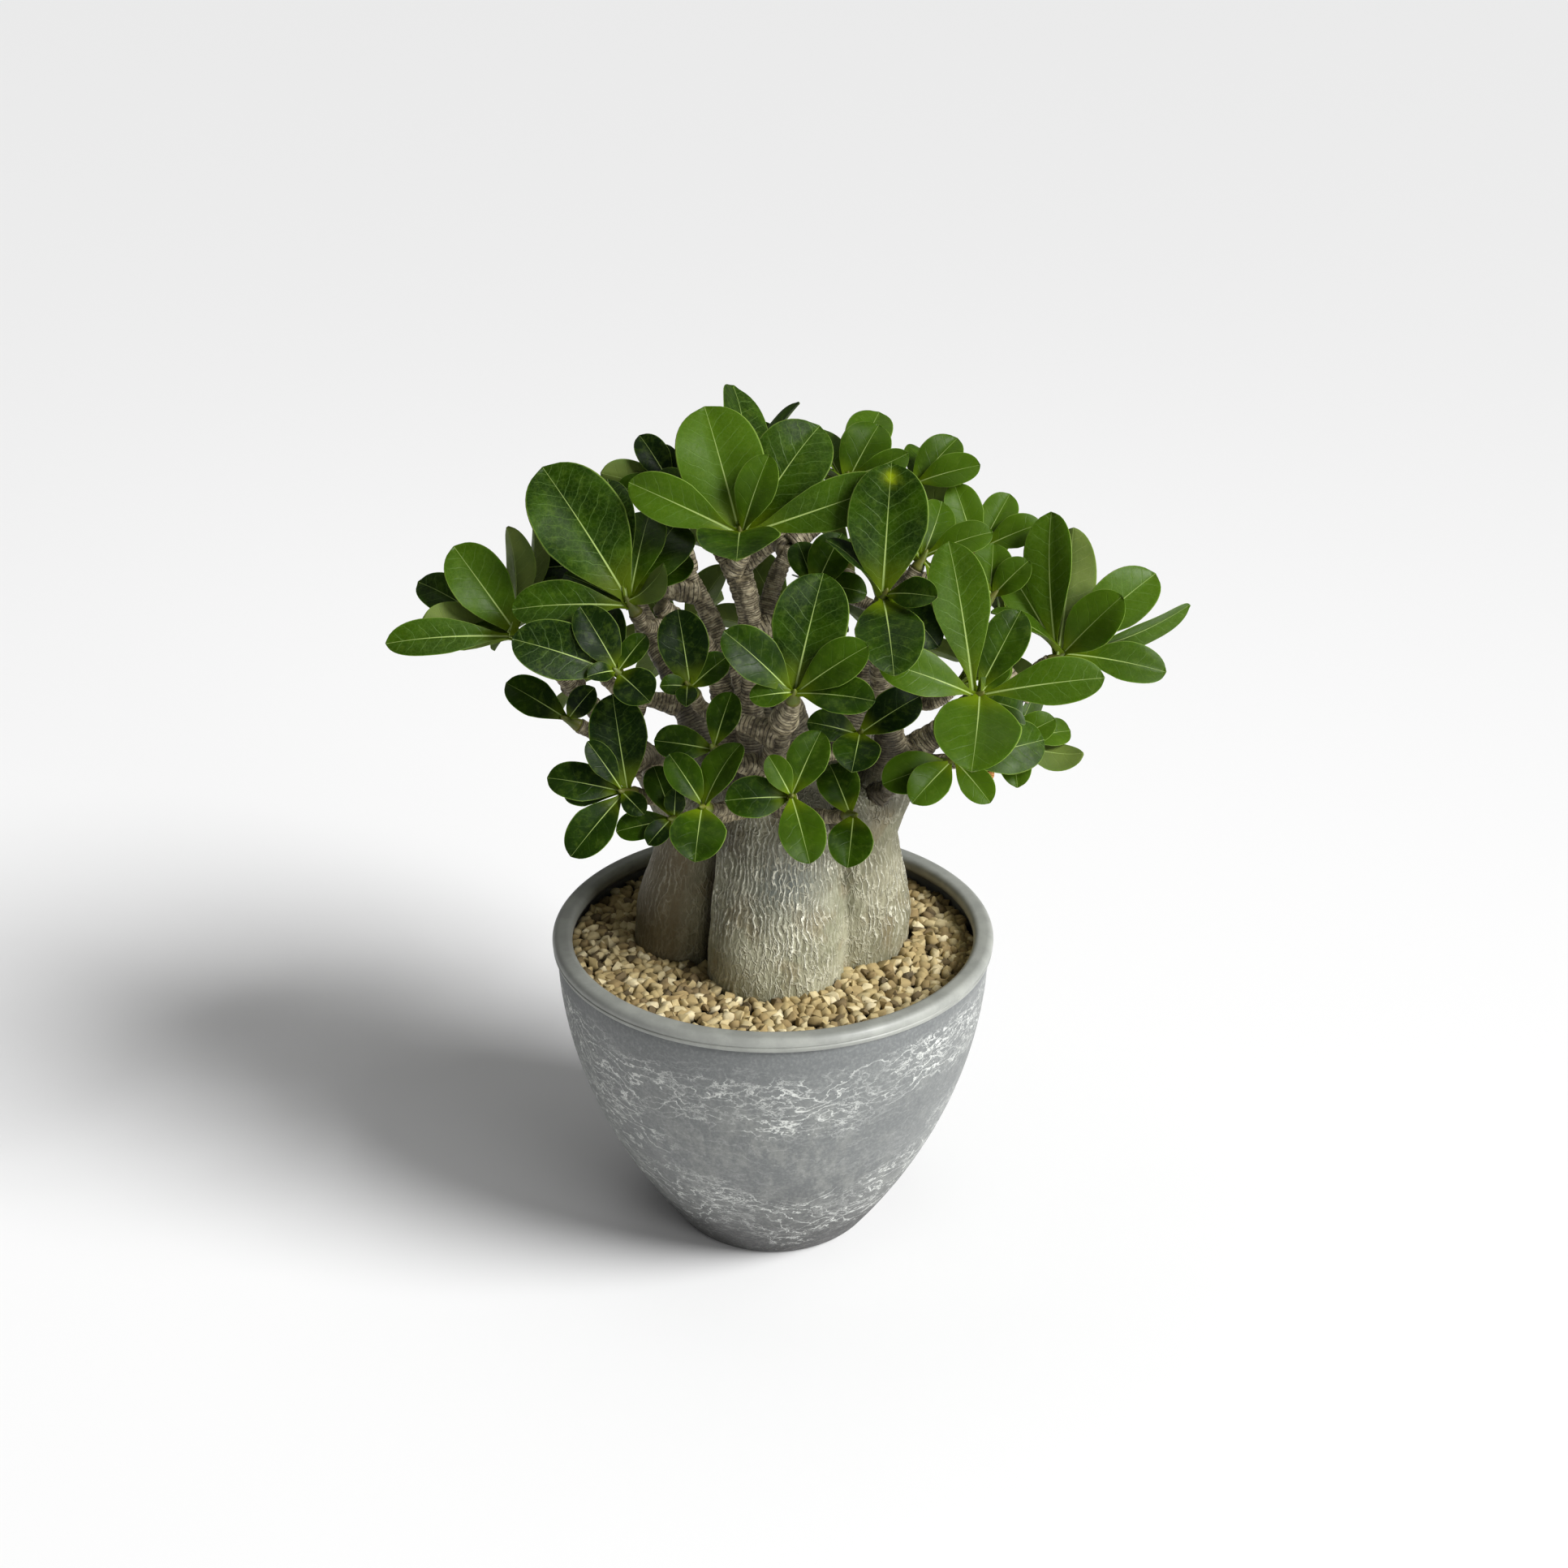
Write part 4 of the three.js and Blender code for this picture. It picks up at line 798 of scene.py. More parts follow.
def make_leaf_finish():
    """Glossy green leaf: pale midrib, faint side veins, pale thin edge that is partly painted
    highlight, yellow-green foot; painted light and shade by tip, and painted sheen.
    """
    f = Finish("leaf_green")
    along, across, spread = f.split(f.attribute("blade", "Vector"))
    tone, under, share = f.split(f.attribute("look", "Vector"))
    veiny = f.attribute("veiny")
    place = f.place()
    away = abs(across)
    rim = abs(spread)
    wander = (f.noise(place, 8, 3) - 0.5) * 5.0
    front = along - away * 0.75 + wander
    wave = f.fract(front / 5.6)
    line = abs(wave - 0.5)
    side_vein = f.band(line, 0.0, 0.06, 1, 0)
    side_vein = side_vein * f.band(rim, 0.5, 0.95, 1, 0.1)
    net = f.band(f.cells(place, 2.0, "DISTANCE_TO_EDGE"), 0.0, 0.12, 1, 0)
    half_rib = f.band(share, 0.0, 0.95, 0.5, 0.14) * f.band(veiny, 0.0, 1.0, 0.62, 1.0)
    midrib = f.band(away / half_rib, 0.5, 1.15, 1, 0)
    patch = f.band(f.noise(place, 15, 3), 0.3, 0.7)
    upper = f.coats(
        f.mix(patch, (20, 39, 1), (42, 67, 2)),
        # The tone is partly random and partly the painted light and shade of the tip.
        (f.band(tone, 0.45, 0.95, 0.0, 0.9), (66, 94, 12)),
        (f.band(tone, 0.05, 0.4, 0.9, 0.0), (6, 22, 2)),
        # Painted sheen: pale mottling on the upper face.
        (f.band(f.noise(place, 3.5, 5, 0.65), 0.48, 0.68) * 0.2, (88, 112, 34)),
    )
    lower = f.mix(patch, (78, 96, 40), (98, 114, 50))
    pale = f.mix(under, (98, 126, 60), (126, 140, 78))
    shown = veiny * 0.28 + 0.06
    tint = f.coats(
        f.mix(under, upper, lower),
        (side_vein * shown, pale),
        (net * (shown * 0.3), pale),
        # A pale thin edge, partly the leaf's own margin and partly painted highlight.
        (f.band(rim, 0.95, 0.995) * 0.6, (130, 156, 70)),
        (f.band(share, 0.02, 0.38, 0.95, 0.0), (92, 112, 8)),
        (midrib * f.band(share, 0.35, 1.0, 0.95, 0.5), (156, 176, 102)),
        (f.attribute("spot"), (150, 168, 16)),
    )
    relief = side_vein * -0.5 + f.noise(place, 3, 3, 0.6)
    rough = f.band(f.noise(place, 9, 5, 0.6), 0.3, 0.7, 0.3, 0.5)
    rough = rough + under * 0.2
    f.set(specular_ior_level=0.09, subsurface_weight=0.12, subsurface_radius=(0.5, 1.0, 0.1),
          subsurface_scale=0.001)
    return f.set(base_color=tint, roughness=rough, normal=f.bump(relief, 0.22, 0.5))


def make_stem_finish():
    """The short young stem between the leaves, green going brown."""
    f = Finish("young_stem", 0.5)
    place = f.place()
    tint = f.mix(f.band(f.noise(place, 4, 4), 0.35, 0.65), (84, 98, 20), (100, 100, 34))
    return f.set(base_color=tint, normal=f.bump(f.noise(place, 1.2, 3), 0.3, 0.6))


# ---------------------------------------------------------------- pot


def bowl_radius(height):
    return BASE_RADIUS + WALL_SWELL * (1 - (1 - height / WALL_TOP) ** 2)


def arc(centre, radius, start, end, steps):
    """Points of an arc of a profile, in degrees."""
    angles = np.radians(np.linspace(start, end, steps))
    return [[centre[0] + radius * math.cos(a), centre[1] + radius * math.sin(a)] for a in angles]


def pot_profile():
    """Radius and height round the wall, from the middle of the base up outside and down inside."""
    wall_end, round_middle = POT_HEIGHT - WALL_END, POT_HEIGHT - CREST_ROUND
    base = [[0, 0], [30, 0], [BASE_RADIUS - 2, 0], [BASE_RADIUS - 0.6, 0.25], [BASE_RADIUS + 0.5, 1]]
    outside = [[bowl_radius(z), z] for z in np.linspace(2.5, wall_end, OUTSIDE_ROWS)]
    band = [[RIM_RADIUS - inset, POT_HEIGHT - drop] for inset, drop in RIM_BAND]
    crest = arc([RIM_RADIUS - CREST_ROUND, round_middle], CREST_ROUND, 6, 90, ARC_ROWS)
    crest += arc([RIM_INNER_RADIUS + CREST_ROUND, round_middle], CREST_ROUND, 90, 174, ARC_ROWS)
    lip = [[RIM_INNER_RADIUS + inset, POT_HEIGHT - drop] for inset, drop in RIM_LIP]
    inside = [[bowl_radius(z) - WALL_THICKNESS, z] for z in np.linspace(wall_end, 9, INSIDE_ROWS)]
    corner = bowl_radius(FLOOR_THICKNESS) - WALL_THICKNESS
    floor = [[corner - 1.5, 6.0]] + [[r, FLOOR_THICKNESS] for r in (corner - 6, 20, 0)]
    return base + outside + band + crest + lip + inside + floor


def make_pot(finish):
    profile = pot_profile()
    rings = [level_ring(r, circle(POT_SEGMENTS), z) for r, z in profile[1:-1]]
    vertices, faces = closed_loft(rings, [0, 0, profile[0][1]], [0, 0, profile[-1][1]])
    pot = make_object("pot_bowl", vertices, faces, finish)
    face_outward(pot.data)
    drills = []
    for hole in range(DRAIN_COUNT):
        turn = (hole + 0.5) / DRAIN_COUNT * 2 * math.pi
        centre = DRAIN_CIRCLE * math.cos(turn), DRAIN_CIRCLE * math.sin(turn)
        ends = [level_ring(DRAIN_RADIUS, circle(HOLE_SEGMENTS), z, centre) for z in DRILL_SPAN]
        drills.append(closed_loft(ends, ends[0].mean(0), ends[1].mean(0)))
    drill = make_object("drill", *merged(drills))
    face_outward(drill.data)
    cut = pot.modifiers.new("drain_holes", "BOOLEAN")
    cut.object, cut.operation, cut.solver = drill, "DIFFERENCE", "EXACT"
    applied(pot)
    bpy.data.objects.remove(drill)
    pot.data.shade_smooth()
    pot.data.set_sharp_from_angle(angle=math.radians(POT_CREASE))
    places = vertex_places(pot.data)
    reach = np.hypot(places[:, 0], places[:, 1])
    within = reach < bowl_radius(places[:, 2]) - WALL_THICKNESS / 2
    set_attributes(pot.data, inner=within * smoothstep(*INNER_FADE, POT_HEIGHT - places[:, 2]))
    return pot


# ---------------------------------------------------------------- caudex


def lobe_at(angles):
    """For angles in degrees: the lobe's place in the list and the share of the way across it."""
    turned = (np.asarray(angles) - LOBES[0]["from"]) % 360
    starts = np.array([lobe["from"] - LOBES[0]["from"] for lobe in LOBES] + [360])
    index = np.clip(np.searchsorted(starts, turned, side="right") - 1, 0, len(LOBES) - 1)
    return index, (turned - starts[index]) / (starts[index + 1] - starts[index])


def lobe_value(key, index, share=None):
    """A value of the lobes; with a share, going over from one lobe's value to the next's."""
    values = np.array([lobe[key] for lobe in LOBES], float)
    if share is None:
        return values[index]
    return lerp(values[index], values[(index + 1) % len(LOBES)], share)


def from_axis(places):
    """Angle in degrees and distance of places from the caudex's axis."""
    x, y = (places[:, :2] - CAUDEX_AXIS).T
    return np.degrees(np.arctan2(y, x)), np.hypot(x, y)


def caudex_reach(angles, heights):
    """Distance of the caudex's skin from its axis."""
    index, share = lobe_at(angles)
    crease = lobe_value("crease", index, share)
    swell = np.sin(np.pi * np.clip(share, 0, 1)) ** LOBE_ROUNDNESS
    rise = np.clip((heights - GRAVEL_TOP) / (CAUDEX_CROWN - GRAVEL_TOP), 0, 1)
    lean = lerp(1, lobe_value("top", index), rise)
    full = np.interp(heights, *zip(*CAUDEX_RINGS))
    stand_out = swell * (lobe_value("reach", index) - crease) * (1 - LOBE_FADE * rise)
    return full * (crease + stand_out) * lean


def make_caudex_body():
    angles = np.arange(0, 360, BODY_STEP)
    heights = [*np.arange(CAUDEX_FOOT, SHOULDER, 3.0), *np.arange(SHOULDER, 225.5, 1.5)]
    rings = [level_ring(caudex_reach(angles, z), np.radians(angles), z, CAUDEX_AXIS) for z in heights]
    return closed_loft(rings, [*CAUDEX_AXIS, CAUDEX_FOOT], [*CAUDEX_AXIS, CAUDEX_CROWN])


def make_tube(rows, sides, step, swell=None):
    """A round tube along rows of x, y, z and radius, with a point about every step in mm."""
    length = curve_length(rows)
    shares = np.linspace(0, 1, max(int(length / step), 4) + 1)
    centres = curve_points(rows, shares)
    radii = radii_along(rows, shares)
    if swell is not None:
        radii = radii * swell(shares * length, length)
    first, second = tube_frames(centres)
    turn = circle(sides)[None, :, None]
    out = first[:, None] * np.cos(turn) + second[:, None] * np.sin(turn)
    rings = centres[:, None] + out * radii[:, None, None]
    return closed_loft(rings, centres[0], centres[-1]), centres, shares * length


def relaxed(mesh, places, weight, rounds):
    """Vertex places drawn towards their neighbours' middle, by each vertex's own weight."""
    edges = np.zeros(len(mesh.edges) * 2, np.int32)
    mesh.edges.foreach_get("vertices", edges)
    a, b = edges.reshape(-1, 2).T
    count = len(places)
    valence = np.bincount(a, minlength=count) + np.bincount(b, minlength=count)
    for _ in range(rounds):
        middle = np.column_stack([
            np.bincount(a, places[b, k], count) + np.bincount(b, places[a, k], count) for k in range(3)
        ]) / valence[:, None]
        places = places + (middle - places) * weight[:, None]
    return places


def scar_rings(along, places):
    """Height of the ring scars from 0 in the grooves to 1, wandering a little."""
    wander = SCAR_WANDER * noise_at(places, 7)
    return np.abs(np.sin(np.pi * (along / SCAR_SPACING + wander))) ** SCAR_SHARPNESS


def nearest_on_limbs(places, spots):
    """For each place: the radius of the limb it is nearest to, how far along that it lies, and
    how far out, over the radius."""
    tree = KDTree(len(spots))
    for index, spot in enumerate(spots):
        tree.insert(spot[0], index)
    tree.balance()
    nearest = [tree.find(p)[1:] for p in places]
    centres, radii, along, courses = (np.array([spots[i][k] for i, _ in nearest]) for k in range(4))
    off = np.array([distance for _, distance in nearest])
    return radii, along + ((places - centres) * courses).sum(1), off / radii


def make_wood():
    """The caudex and limbs in one skin, the caudex smoothed. Gives for each vertex its place, how
    far along a limb it lies and how much it belongs to a slender one."""
    parts, spots = [make_caudex_body()], []
    for rows in LIMBS.values():
        tube, centres, along = make_tube(rows, LIMB_SIDES, LIMB_STEP)
        parts.append(tube)
        radii = radii_along(rows, np.linspace(0, 1, len(centres)))
        spots.extend(zip(centres, radii, along, headings(centres)))
    wood = make_object("caudex_bark", *merged(parts))
    face_outward(wood.data)
    remesh = wood.modifiers.new("one_skin", "REMESH")
    remesh.mode, remesh.voxel_size = "VOXEL", WOOD_VOXEL * MM
    applied(wood)
    wood.data.shade_smooth()
    places = vertex_places(wood.data)
    radii, along, out = nearest_on_limbs(places, spots)
    on_limb = smoothstep(*ON_LIMB, out) * smoothstep(*LIMB_FEET, places[:, 2])
    slender = on_limb * smoothstep(*SLENDER, radii)
    places = relaxed(wood.data, places, 0.5 * (1 - SLENDER_KEPT * slender), WOOD_ROUNDS)
    put_places(wood.data, places)
    return wood, places, along, slender


def make_caudex(finish):
    """The wood with the relief and the attributes of its bark."""
    caudex, places, along, slender = make_wood()
    mesh = caudex.data
    mesh.materials.append(finish)
    height = places[:, 2]
    angles, reach = from_axis(places)
    index, share = lobe_at(angles)
    nearer = np.where(share < 0.5, index, (index + 1) % len(LOBES))
    span = np.array([lobe["to"] - lobe["from"] for lobe in LOBES])[index]
    sideways = np.minimum(share, 1 - share) * np.radians(span) * reach
    low = smoothstep(*LOBES_FADE, height)
    # The fissure cuts the creases in and marks where shade is painted in them.
    fissure = np.exp(-((sideways / FISSURE_WIDTH) ** 2)) * lobe_value("fissure", nearer) * low

    stout = 1 - slender
    ring = scar_rings(along, places)
    stripe = (angles - LOBES[2]["to"]) % 360 / 360 * STRIPE_COUNT
    stripe += 0.9 * noise_at(places * array(1, 1, 0.7), 5.5, 2.2) + 1.1 * noise_at(places, 17, 6.1)
    line = smoothstep(0.32, 0.04, np.abs(stripe % 1 - 0.5))
    # The lines are fainter on the lobes with painted shade.
    lined = stout * (1 - 0.75 * lobe_value("shade", index))
    lined *= lerp(0.5, 1, smoothstep(*LINES_BEGIN, height))
    lined *= smoothstep(-0.6, 0.1, noise_at(places, 24, 9.1))
    push = stout * (1.2 * noise_at(places, 26) + 0.5 * noise_at(places, 11, 3.1))
    push += LINE_RELIEF * lined * line - FISSURE_DEPTH * fissure
    push += slender * (0.5 * noise_at(places, 6, 5.5) + SCAR_RELIEF * ring - 0.3)
    put_places(mesh, places + vertex_normals(mesh) * push[:, None])

    # Painted shade on each lobe by its shade value, partly a browner tone of the bark.
    shade = np.interp(share, [0, 0.15, 0.85, 1], [0, 1, 1, 0]) * lobe_value("shade", index) * low
    off = [(places[:, axis] - middle) / reach for axis, (middle, reach) in zip([0, 2], BLUISH)]
    bluish = np.exp(-(off[0] ** 2) - off[1] ** 2) * (places[:, 1] < -5)
    # Painted shade from the crown, on the bark just under it and within it.
    rising, falling = PAINTED_CROWN_SHADE
    dark = smoothstep(*rising, height + 5 * noise_at(places, 13, 4.4)) * smoothstep(*falling, height)
    dark *= smoothstep(-0.8, 0.5, noise_at(places, 14, 8.3))
    set_attributes(mesh, slender=slender, ring=ring, run=along, fissure=fissure, stripe=stripe,
                   lined=lined, dark=dark, shade=shade, bluish=bluish)
    return caudex


# ---------------------------------------------------------------- gravel


def grain_shapes(rng, count):
    """Crushed pebbles with flat sides and softened corners, about 1 in radius."""
    order = np.arange(GRAIN_CORNERS)
    level = 1 - (2 * order + 1) / GRAIN_CORNERS
    turn = np.radians(GOLDEN_ANGLE * order)
    ring = np.sqrt(1 - level**2)
    evenly = np.column_stack([ring * np.cos(turn), ring * np.sin(turn), level])
    shapes = []
    for _ in range(count):
        corners = 1.1 * evenly + GRAIN_JITTER * rng.standard_normal(evenly.shape)
        soft = corners[:, None] + GRAIN_CHIP * rng.standard_normal((GRAIN_CORNERS, 4, 3))
        points = soft.reshape(-1, 3) * [1.2, rng.uniform(0.85, 1.0), rng.uniform(0.7, 0.88)]
        lump = bmesh.new()
        for point in points:
            lump.verts.new(point)
        hull = bmesh.ops.convex_hull(lump, input=lump.verts)
        bmesh.ops.delete(lump, geom=hull["geom_interior"], context="VERTS")
        lump.verts.index_update()
        faces = [tuple(v.index for v in face.verts) for face in lump.faces]
        shapes.append((np.array([v.co for v in lump.verts]), faces))
        lump.free()
    return shapes


def gravel_places(rng):
    """Rest places of grains dropped one by one, each into the lowest of a few places."""
    inner_wall = bowl_radius(GRAVEL_FLOOR + 3) - WALL_THICKNESS
    places, sizes = np.empty((0, 3)), np.empty(0)
    while len(places) < GRAIN_COUNT:
        size = rng.uniform(*GRAIN_SIZES)
        turn = rng.uniform(0, 2 * np.pi, GRAIN_TRIALS)
        reach = np.sqrt(rng.uniform(0, 1, GRAIN_TRIALS)) * (inner_wall - size)
        spots = np.column_stack([reach * np.cos(turn), reach * np.sin(turn)])
        angles, off = from_axis(spots)
        spots = spots[off > caudex_reach(angles, GRAVEL_FLOOR + 5) + GRAIN_TO_WOOD * size]
        if not len(spots):
            continue
        rest = np.full(len(spots), GRAVEL_FLOOR + GRAIN_TO_FLOOR * size)
        if len(places):
            away = np.linalg.norm(spots[:, None] - places[None, :, :2], axis=2)
            touch = GRAIN_NESTING * (size + sizes)
            over = np.sqrt(np.clip(touch**2 - away**2, 0, None))
            rest = np.maximum(rest, np.where(over > 0, places[:, 2] + over, 0).max(axis=1))
        best = rest.argmin()
        height = min(rest[best], GRAVEL_CREST - size)
        places = np.vstack([places, [*spots[best], height]])
        sizes = np.append(sizes, size)
    return places, sizes


def random_turns(rng, count):
    """Random rotation matrices."""
    q = rng.standard_normal((count, 4))
    w, x, y, z = (q / np.linalg.norm(q, axis=1, keepdims=True)).T
    return np.stack([
        np.stack([1 - 2 * (y * y + z * z), 2 * (x * y - z * w), 2 * (x * z + y * w)], -1),
        np.stack([2 * (x * y + z * w), 1 - 2 * (x * x + z * z), 2 * (y * z - x * w)], -1),
        np.stack([2 * (x * z - y * w), 2 * (y * z + x * w), 1 - 2 * (x * x + y * y)], -1),
    ], 1)


def make_gravel(finish):
    rng = np.random.default_rng(GRAVEL_SEED)
    shapes = grain_shapes(rng, GRAIN_SHAPES)
    places, sizes = gravel_places(rng)
    turns = random_turns(rng, len(places))
    parts = []
    for place, size, turn in zip(places, sizes, turns):
        shape, faces = shapes[rng.integers(len(shapes))]
        parts.append((shape @ turn.T * size + place, faces, {"tone": rng.uniform()}))
    parts.append((*make_gravel_bed(), {"tone": BED_TONE}))
    gravel = make_piece("gravel_grains", parts, finish)
    gravel.data.set_sharp_from_angle(angle=math.radians(GRAIN_CREASE))
    # Painted shade between the grains, growing with depth under the crest.
    depth = GRAVEL_CREST - vertex_places(gravel.data)[:, 2]
    set_attributes(gravel.data, deep=PAINTED_DEPTH_SHADE[2] * smoothstep(*PAINTED_DEPTH_SHADE[:2], depth))
    return gravel


def make_gravel_bed():
    """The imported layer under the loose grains, round the caudex."""
    angles = np.linspace(0, 360, 121)[:-1]
    skin = caudex_reach(angles, GRAVEL_FLOOR) + GAP, CAUDEX_AXIS
    wall = bowl_radius(MIX_TOP) - WALL_THICKNESS - GAP, (0, 0)
    low, high = MIX_TOP + GAP, GRAVEL_FLOOR + 1
    rings = [level_ring(reach, np.radians(angles), z, centre)
             for (reach, centre), z in [(skin, low), (wall, low), (wall, high), (skin, high)]]
    count = len(angles)
    faces = []
    for ring in range(4):
        for k in range(count):
            n = (k + 1) % count
            near, far = ring * count, (ring + 1) % 4 * count
            faces.append((near + k, near + n, far + n, far + k))
    return np.vstack(rings), faces


# ---------------------------------------------------------------- tips and their leaves


@dataclass
class Leaf:
    """A leaf's root, the way it points, the way its face looks, and its size. Its fields may
    be stacks."""

    root: np.ndarray
    along: np.ndarray
    up: np.ndarray
    side: np.ndarray
    length: float
    width: float
    tip: int = 0
    number: int = 0


def make_leaf(root, along, facing, length, width, roll=0, tip=0, number=0):
    up = unit(facing - along * facing.dot(along))
    up = swung(up, np.cross(along, up), math.radians(roll))
    return Leaf(root, along, up, np.cross(up, along), length, width, tip, number)


def half_width(leaf, share):
    inside = np.clip(share, 0, 1)
    fullness = smoothstep(*LEAF_RATIOS, leaf.width / leaf.length)
    widest, power = lerp(*LEAF_WIDEST, fullness), lerp(*WEDGE_POWER, fullness)
    wedge = np.sin(np.pi / 2 * np.minimum(inside / widest, 1)) ** power
    beyond = np.maximum((inside - widest) / (1 - widest), 0)
    rounded = (1 - beyond**TIP_FULLNESS) ** TIP_ROUNDNESS
    return leaf.width / 2 * np.maximum(wedge * rounded, STALK_SHARE * (1 - inside))


def face_height(leaf, share, across):
    return 4 * LEAF_ARCH * leaf.length * share * (1 - share) + LEAF_FOLD * np.abs(across)


def outline_points(leaf):
    """Points along both edges and the midrib, and their shares of the length."""
    share = np.repeat(np.arange(2, OUTLINE_STEPS + 1) / OUTLINE_STEPS, 3)
    across = half_width(leaf, share) * np.tile([-1, 0, 1], OUTLINE_STEPS - 1)
    points = leaf.root + np.outer(leaf.length * share, leaf.along) + np.outer(across, leaf.side)
    return points + np.outer(face_height(leaf, share, across), leaf.up), share


def touches(leaf, places, clearance):
    """Whether points lie within a clearance of a leaf's blade, or of each blade of a stack."""
    offset = places - leaf.root
    share = (offset * leaf.along).sum(-1) / leaf.length
    across = (offset * leaf.side).sum(-1)
    inside = np.clip(share, 0, 1)
    end = clearance / leaf.length
    margin = np.maximum(EDGE_CLEARANCE, clearance - LEAF_CLEARANCE)
    near = (share >= -end) & (share <= 1 + end) & (np.abs(across) <= half_width(leaf, inside) + margin)
    return near & (np.abs((offset * leaf.up).sum(-1) - face_height(leaf, inside, across)) < clearance)


def stacked(leaves):
    """The leaves as one stack, with their outlines."""
    fields = {key: np.array([getattr(leaf, key) for leaf in leaves])[:, None]
              for key in ("root", "along", "up", "side", "length", "width", "tip")}
    return Leaf(**fields), np.array([outline_points(leaf)[0] for leaf in leaves])


def leaf_clash(leaf, others, outlines):
    """Whether a leaf comes too near any of a stack of leaves."""
    reach = np.linalg.norm(others.root - leaf.root, axis=-1) <= leaf.length + others.length
    sisters = others.tip == leaf.tip
    clearance = np.where(sisters, SISTER_CLEARANCE, LEAF_CLEARANCE)
    points, share = outline_points(leaf)
    counted = reach & (share > np.where(sisters, SISTER_ROOTS, 0))
    hits = touches(leaf, outlines, clearance) | touches(others, points[None], clearance)
    return bool((counted & hits).any())


def wood_clash(leaf, wood):
    """Whether a leaf comes too near a limb or a twig, given as round spots."""
    places, radii, tips, near_end = wood
    near = np.linalg.norm(places - leaf.root, axis=1) <= leaf.length + radii + LEAF_CLEARANCE
    counted = near & ~((tips == leaf.tip) & near_end)
    return bool((counted & touches(leaf, places, LEAF_CLEARANCE + radii)).any())


def turned_leaf(leaf, aside, way, shorter):
    sideways = swung(leaf.up, leaf.side, 2 * math.pi * way / ASIDE_WAYS)
    along = unit(swung(leaf.along, sideways, math.radians(aside)))
    size = leaf.length * shorter, leaf.width * shorter
    return make_leaf(leaf.root, along, leaf.up, *size, tip=leaf.tip, number=leaf.number)


def cleared_leaf(leaf, grown, wood):
    """The nearest clear place for a leaf, or None."""
    others = stacked(grown) if grown else None
    for shorter in SHORTER:
        for aside in TURN_ASIDE:
            for way in range(1 if aside == 0 else ASIDE_WAYS):
                turned = turned_leaf(leaf, aside, way, shorter)
                if not wood_clash(turned, wood) and not (others and leaf_clash(turned, *others)):
                    return turned
    return None


@dataclass
class Tip:
    """A leafy tip of a twig."""

    name: str
    number: int
    place: np.ndarray
    leaves: list
    extra: int
    is_back: bool = False

    @property
    def axis(self):
        return unit(self.place - CROWN_CENTRE + [0, 0, CROWN_LIFT])

    @property
    def across(self):
        """Two ways square to the axis and to each other."""
        first = unit(np.cross([0, 0, 1], self.axis))
        return first, np.cross(self.axis, first)


def make_tips():
    tips = [Tip(name, number, np.array(at, float), leaves, extra)
            for number, (name, (at, extra, leaves)) in enumerate(FRONT_TIPS.items())]
    for level, tier in enumerate(BACK_TIERS):
        for index, bearing in enumerate(tier["bearings"]):
            x, y = tier["reach"] * swung(array(1, 0), array(0, 1), math.radians(bearing)) + BACK_CENTRE
            name = f"back_tier_{level + 1}_{index + 1}"
            tips.append(Tip(name, len(tips), array(x, y, tier["height"]), [], tier["leaves"], True))
    return tips


def front_leaves(tip):
    rise = math.radians(VIEW_RISE)
    right, ahead, overhead = np.eye(3)
    over, forward = swung(overhead, ahead, rise), swung(-ahead, overhead, rise)
    found = []
    for index, (turn, lean, length, width, *roll) in enumerate(tip.leaves):
        along = direction(turn, lean, right, over, forward)
        root = tip.place + tip.axis * ROOT_SPREAD * (index / len(tip.leaves) - 0.5)
        found.append(make_leaf(root, along, VIEW_FACING, length, width, *roll,
                               tip=tip.number, number=index))
    return found


def spiral_leaves(tip, started, draw):
    """Leaves set in a spiral round the tip, away from its other leaves and from the viewer."""
    leaves = []
    low, high = BACK_RISE if tip.is_back else BEHIND_RISE
    near = math.cos(math.radians(LEAST_APART))
    for index in range(SPIRAL_TURNS):
        if len(leaves) >= tip.extra:
            break
        rise = lerp(low, high, draw())
        length = lerp(*BACK_LEAF_LENGTH, draw())
        along = direction(GOLDEN_ANGLE * index, rise, *tip.across, tip.axis)
        taken = any(leaf.along.dot(along) > near for leaf in [*started, *leaves])
        if taken or (not tip.is_back and along[1] < BEHIND_LEAST):
            continue
        root = tip.place + tip.axis * (SPIRAL_START + SPIRAL_PITCH * len(leaves))
        size = length, length * BACK_LEAF_RATIO
        leaves.append(make_leaf(root, along, tip.axis, *size, tip=tip.number, number=100 + index))
    return leaves


def grow_leaves(tips, wood):
    draw = make_random(LEAF_SEED)
    grown = []
    wanted = [front_leaves(tip) for tip in tips]

    def add(leaf):
        cleared = cleared_leaf(leaf, grown, wood)
        if cleared:
            grown.append(cleared)

    for leaf in sum(wanted, []):
        add(leaf)
    for tip in tips:
        for leaf in spiral_leaves(tip, wanted[tip.number], draw):
            add(leaf)
    return grown


def wood_spots(rows, tip):
    """Round spots along a limb or twig: place, radius, tip, and whether it is near the end."""
    count = max(int(curve_length(rows) / SPOT_SPACING + 0.5), 2)
    shares = np.arange(count + 1) / count
    places = curve_points(rows, shares)
    near_end = np.linalg.norm(places - places[-1], axis=1) < TWIG_END_LENGTH
    return list(zip(places, radii_along(rows, shares), [tip] * (count + 1), near_end))


